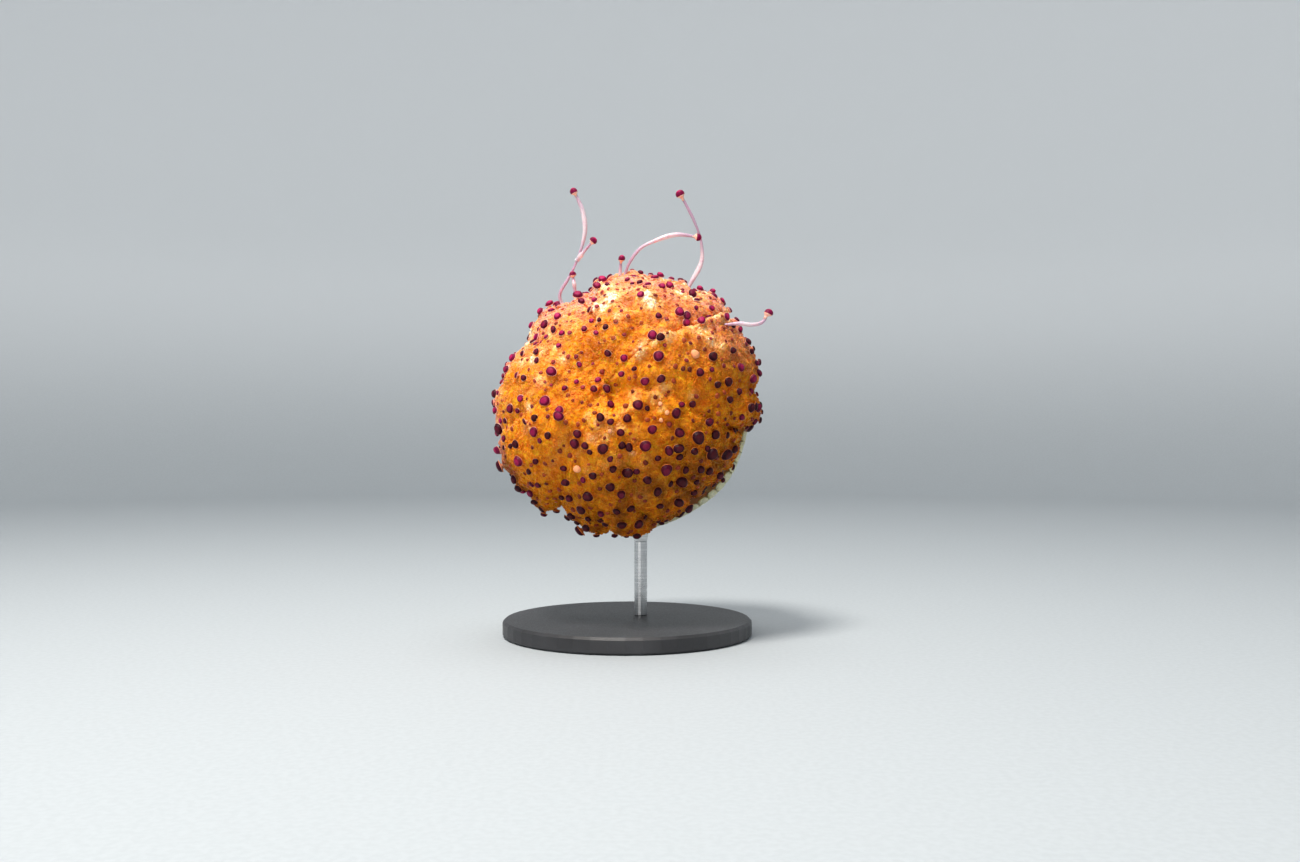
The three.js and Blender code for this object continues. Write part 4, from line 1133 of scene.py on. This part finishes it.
def make_filament(name, points, swell, button, draws, nodes=()):
    """One filament along its points, with the ball at its tip."""
    line = BODY_CENTRE + curve_through(points, FILAMENT_STEPS) * MM
    share = np.linspace(0, 1, FILAMENT_STEPS)
    phase = draws.uniform(0, 1)
    thick = FILAMENT_RADIUS + FILAMENT_SWELLING * np.exp(-(((share - swell) / 0.2) ** 2))
    thick = thick + 0.08 * np.sin(14 * (share + phase)) + FILAMENT_ROOT * np.exp(-share / 0.05)
    tangents = unit(np.gradient(line, axis=0))
    first, second = frames_along(tangents, np.zeros(FILAMENT_STEPS), np.array([0.0, 1.0, 0.0]))
    angles = angles_around(FILAMENT_SIDES)
    oval = 1 + 0.12 * np.sin(2 * angles[None] + 9 * share[:, None])
    reach = thick[:, None] * MM * oval
    rings = along_frames(line, (reach * np.cos(angles), reach * np.sin(angles)), (first, second))
    points = np.concatenate([rings.reshape(-1, 3), line[:1], line[-1:]])
    triangles = closed_tube(FILAMENT_STEPS, FILAMENT_SIDES)
    swollen = np.append(np.repeat(np.clip(thick - 0.6, 0, 1), FILAMENT_SIDES), [0, 0])
    piece = mesh_object(name, points, triangles, [FILAMENT_SKIN], {"thick": swollen})
    if nodes:
        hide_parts(*nodes)
    marks = {key: np.zeros(1) for key in ("faint", "pale", "rooted", "low")}
    marks["tone"] = np.full(1, 0.85)
    axis = tangents[-1:] @ TO_WORLD
    radius = np.array([button * MM])
    tip = to_animal(line[-1:]) - BALL_MIDDLE * radius * axis
    cap = make_clubs(f"{name}_button", tip, axis, radius, 0.8 * radius, marks, draws, BALL)


filament_draws = np.random.default_rng(SEED["filaments"])
for filament_name, filament in FILAMENTS.items():
    make_filament(filament_name, **filament, draws=filament_draws)

# ---- The bell ----

BELL_OUTSIDE = np.array([[31, -60.5], [48, -56.5], [60, -49], [67, -38], [69, -28]]) * MM
BELL_INSIDE = np.array([[31, -46], [48, -44], [58, -39], [64, -32], [67, -27.5]]) * MM
DOME_RADIUS = 31 * MM
DOME_TOP = -74 * MM
LAPPETS = 64
LAPPET_LENGTH = 7 * MM
LAPPET_CURL = 1.2 * MM  # how far its tip turns in
# The rings of the lappets, out and back in: how far along the lappet, and how far outwards, in mm.
LAPPET_RINGS = [
    (0.35, 0.0), (0.7, -0.03), (0.93, -0.12), (1.0, -0.225), (0.93, -1.5), (0.6, -1.5), (0.25, -1.5),
]
MARGIN = 22 * MM  # the width of the furrowed margin
CANALS = 16
CANAL_FORKS = (44 * MM, 56 * MM)  # the radii where each forks in two
BELL_AROUND = 768
BELL_FLARE = {"towards": rad(312), "share": 0.03}  # the side to which the margin spreads
BELL_ALONG = 64


def bell_profile(corners, count):
    """Evenly spaced places on a smooth line through the corners of a profile."""
    spread = np.concatenate([corners, np.zeros((len(corners), 1))], axis=1)
    return curve_through(spread, count)[:, :2]


def bell_material():
    nodes = Nodes("bell")
    cloud = nodes.noise(7 * MM, 4.0, 0.6)
    speck = nodes.cells(1.6 * MM)
    base = nodes.tint(colour(216, 194, 140), colour(238, 220, 180), cloud, 0.35, 0.65)
    base = nodes.blend(base, colour(238, 232, 206), nodes.times(nodes.value("canal"), 0.75))
    base = nodes.tint(base, colour(190, 188, 152), nodes.value("along"), 0.8, 1.0)
    base = nodes.tint(base, colour(252, 248, 232), speck, 0.22, 0.1, 0.0, 0.7)
    egg = nodes.tint(colour(176, 96, 14), colour(226, 148, 34), nodes.noise(5 * MM, 4.0, 0.65), 0.35, 0.68)
    base = nodes.blend(base, egg, nodes.value("yolk"))
    normal = nodes.bump(speck, -0.2 * MM, 0.7, nodes.bump(cloud, 0.6 * MM, 0.5))
    return nodes.finish(base, normal, 0.28, glow=(0.85, 5 * MM, (1.0, 0.8, 0.4)))


def make_bell():
    """The umbrella with its dome and lappets, one closed skin, in the animal's frame."""
    azimuth = angles_around(BELL_AROUND)
    wave = LAPPETS * azimuth
    tongue = np.abs(np.cos(wave / 2)) ** 0.3
    uneven = 1 + 0.12 * np.sin(5 * azimuth) + 0.1 * np.sin(13 * azimuth + 1)
    flare = BELL_FLARE["share"] * (0.5 + 0.5 * np.cos(azimuth - BELL_FLARE["towards"])) ** 2
    dome_rings = []
    for share in np.linspace(0.03, 0.97, 22):
        swell = math.sqrt(1 - share**2.2)
        dome_rings.append((share * DOME_RADIUS, BELL_OUTSIDE[0, 1] + (DOME_TOP - BELL_OUTSIDE[0, 1]) * swell))
    outside = np.vstack([dome_rings, bell_profile(BELL_OUTSIDE, BELL_ALONG)])
    inside = bell_profile(BELL_INSIDE, BELL_ALONG)[::-1]
    rings, numbers = [], []
    step = np.cumsum(np.concatenate([[0], lengths(np.diff(outside, axis=0))]))
    for (radius, z), travelled in zip(outside, step):
        margin = smoothstep(travelled, step[-1] - MARGIN, step[-1])
        furrow = (0.45 * MM * margin) * (tongue - 1)
        swell = 0.5 * MM * np.sin(8 * azimuth + 0.4) * margin
        ring_radius = (radius + furrow + swell) * (1 + flare * margin)
        rings.append((ring_radius, z))
        numbers.append((travelled / step[-1], radius))
    edge_radius, edge_z = outside[-1]
    for reach, outwards in LAPPET_RINGS:
        ring_radius = edge_radius + outwards * MM - LAPPET_CURL * reach**2
        rings.append((ring_radius * (1 + flare), edge_z + LAPPET_LENGTH * reach * tongue * uneven))
        numbers.append((1.0, edge_radius))
    for radius, z in inside:
        margin = smoothstep(radius, 0.7 * edge_radius, 0.97 * edge_radius)
        rings.append((radius * (1 + flare * margin), z))
        numbers.append((0.5, radius))
    points = np.concatenate([around_axis(ring_radius, azimuth, z) for ring_radius, z in rings])
    rows = len(rings)
    points = np.vstack([points, [0, 0, DOME_TOP], [0, 0, BELL_INSIDE[0, 1]]])
    along, radii = (np.repeat(column, BELL_AROUND) for column in zip(*numbers))
    around = np.tile(azimuth, rows)
    branches = CANALS * 2 ** sum((radii > fork).astype(int) for fork in CANAL_FORKS)
    canal = np.abs(np.cos(around * branches / 2 + 0.15 * np.sin(radii / (3 * MM)))) ** 24
    canal = canal * smoothstep(radii, 30 * MM, 40 * MM)
    yolk = 1 - smoothstep(radii + 1.5 * MM * np.sin(9 * around), 27 * MM, 36 * MM)
    values = {
        "along": np.append(along, [0, 0.5]),
        "canal": np.append(canal, [0, 0]),
        "yolk": np.append(yolk, [1, 1]),
    }
    triangles = closed_tube(rows, BELL_AROUND)
    bell = mesh_object("bell_skin", to_world(points), triangles, [bell_material()], values)
    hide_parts("bell_dome", *[f"bell_octant_{index + 1}" for index in range(8)])


make_bell()

# ---- The stand ----


def steel_material():
    nodes = Nodes("stand_steel")
    brushed = nodes.add("ShaderNodeMapping", {"Vector": nodes.place, "Scale": (9.0, 9.0, 700.0)}).outputs[0]
    streaks = nodes.add("ShaderNodeTexNoise", {"Vector": brushed, "Scale": 4.0, "Detail": 4.0}).outputs["Fac"]
    smudge = nodes.noise(18 * MM, 3.0)
    base = nodes.tint(colour(176, 178, 180), colour(206, 207, 208), streaks, 0.3, 0.7)
    rough = nodes.span(smudge, 0.3, 0.7, 0.24, 0.36)
    return nodes.finish(base, nodes.bump(streaks, 0.03 * MM, 0.5), rough, metal=1.0)


def base_material():
    nodes = Nodes("stand_base")
    grain = nodes.noise(0.8 * MM, 3.0, 0.7)
    cloud = nodes.noise(40 * MM, 3.0)
    base = nodes.tint(colour(40, 40, 43), colour(54, 54, 57), cloud, 0.3, 0.7)
    rough = nodes.span(grain, 0.3, 0.7, 0.42, 0.55)
    return nodes.finish(base, nodes.bump(grain, 0.05 * MM, 0.6), rough)


for node_name, material in (
    ("stand_cradle", steel_material()),
    ("stand_rod", steel_material()),
    ("stand_base", base_material()),
):
    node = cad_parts[node_name]
    node.data.materials.clear()
    node.data.materials.append(material)

# ---- The floor, the light and the camera ----


FLOOR_RADIUS = 1.7
FLOOR_BEND = 0.6  # the radius of the sweep
WALL_TOP = 3.0
FLOOR_SIDES = 96


def make_floor():
    """A round floor that sweeps up into a wall, the same from every side."""
    line = [(reach, 0.0) for reach in np.linspace(0.05, FLOOR_RADIUS, 8)]
    for turn in np.linspace(0, math.pi / 2, 24)[1:]:
        line.append((FLOOR_RADIUS + FLOOR_BEND * math.sin(turn), FLOOR_BEND - FLOOR_BEND * math.cos(turn)))
    line.append((FLOOR_RADIUS + FLOOR_BEND, WALL_TOP))
    angles = angles_around(FLOOR_SIDES)
    rings = [around_axis(reach, angles, z) for reach, z in line]
    points = np.vstack([*rings, [[0, 0, 0]]])
    walls = rings_triangles(len(line), FLOOR_SIDES)[:, ::-1]
    faces = np.vstack([walls, fan_triangles(0, FLOOR_SIDES, len(points) - 1)])
    mesh = bpy.data.meshes.new("floor")
    mesh.from_pydata(points.tolist(), [], faces.tolist())
    mesh.shade_smooth()
    nodes = Nodes("floor_paper")
    paper = nodes.noise(3 * MM, 3.0)
    height = nodes.add("ShaderNodeSeparateXYZ", {"Vector": nodes.place}).outputs["Z"]
    base = nodes.tint(colour(176, 182, 186), colour(181, 187, 191), paper, 0.3, 0.7)
    base = nodes.tint(base, colour(224, 228, 231), height, 0.0, 0.5)
    mesh.materials.append(nodes.finish(base, nodes.bump(paper, 0.05 * MM, 0.3), 0.8))
    new_object("floor", mesh)


def area_light(name, place, aim, size, power, tint):
    data = bpy.data.lights.new(name, "AREA")
    data.shape = "DISK"
    data.size = size
    data.energy = power
    data.color = tint
    light = new_object(name, data)
    light.location = place
    light.rotation_euler = (Vector(aim) - Vector(place)).to_track_quat("-Z", "Y").to_euler()


def make_light():
    aim = (0, -0.02, 0.14)
    area_light("key", (-0.3, -0.55, 1.25), aim, 0.3, 20, (1.0, 0.96, 0.9))
    area_light("fill", (-0.6, -1.5, 0.5), aim, 1.0, 5.5, (1.0, 0.97, 0.94))
    area_light("top", (0.0, 0.2, 2.7), (0, 0, 0), 2.2, 28, (1.0, 1.0, 1.0))
    world = bpy.data.worlds.new("studio")
    world.use_nodes = True
    world.node_tree.nodes["Background"].inputs["Color"].default_value = (0.96, 0.98, 1.0, 1.0)
    world.node_tree.nodes["Background"].inputs["Strength"].default_value = 0.2
    bpy.context.scene.world = world


def make_camera():
    data = bpy.data.cameras.new("camera")
    data.lens = LENS
    data.sensor_width = SENSOR
    camera = new_object("camera", data)
    camera.location = CAMERA
    camera.rotation_euler = (math.pi / 2, 0, 0)
    bpy.context.scene.camera = camera


make_floor()
make_light()
make_camera()
bpy.context.scene.view_settings.view_transform = "Standard"
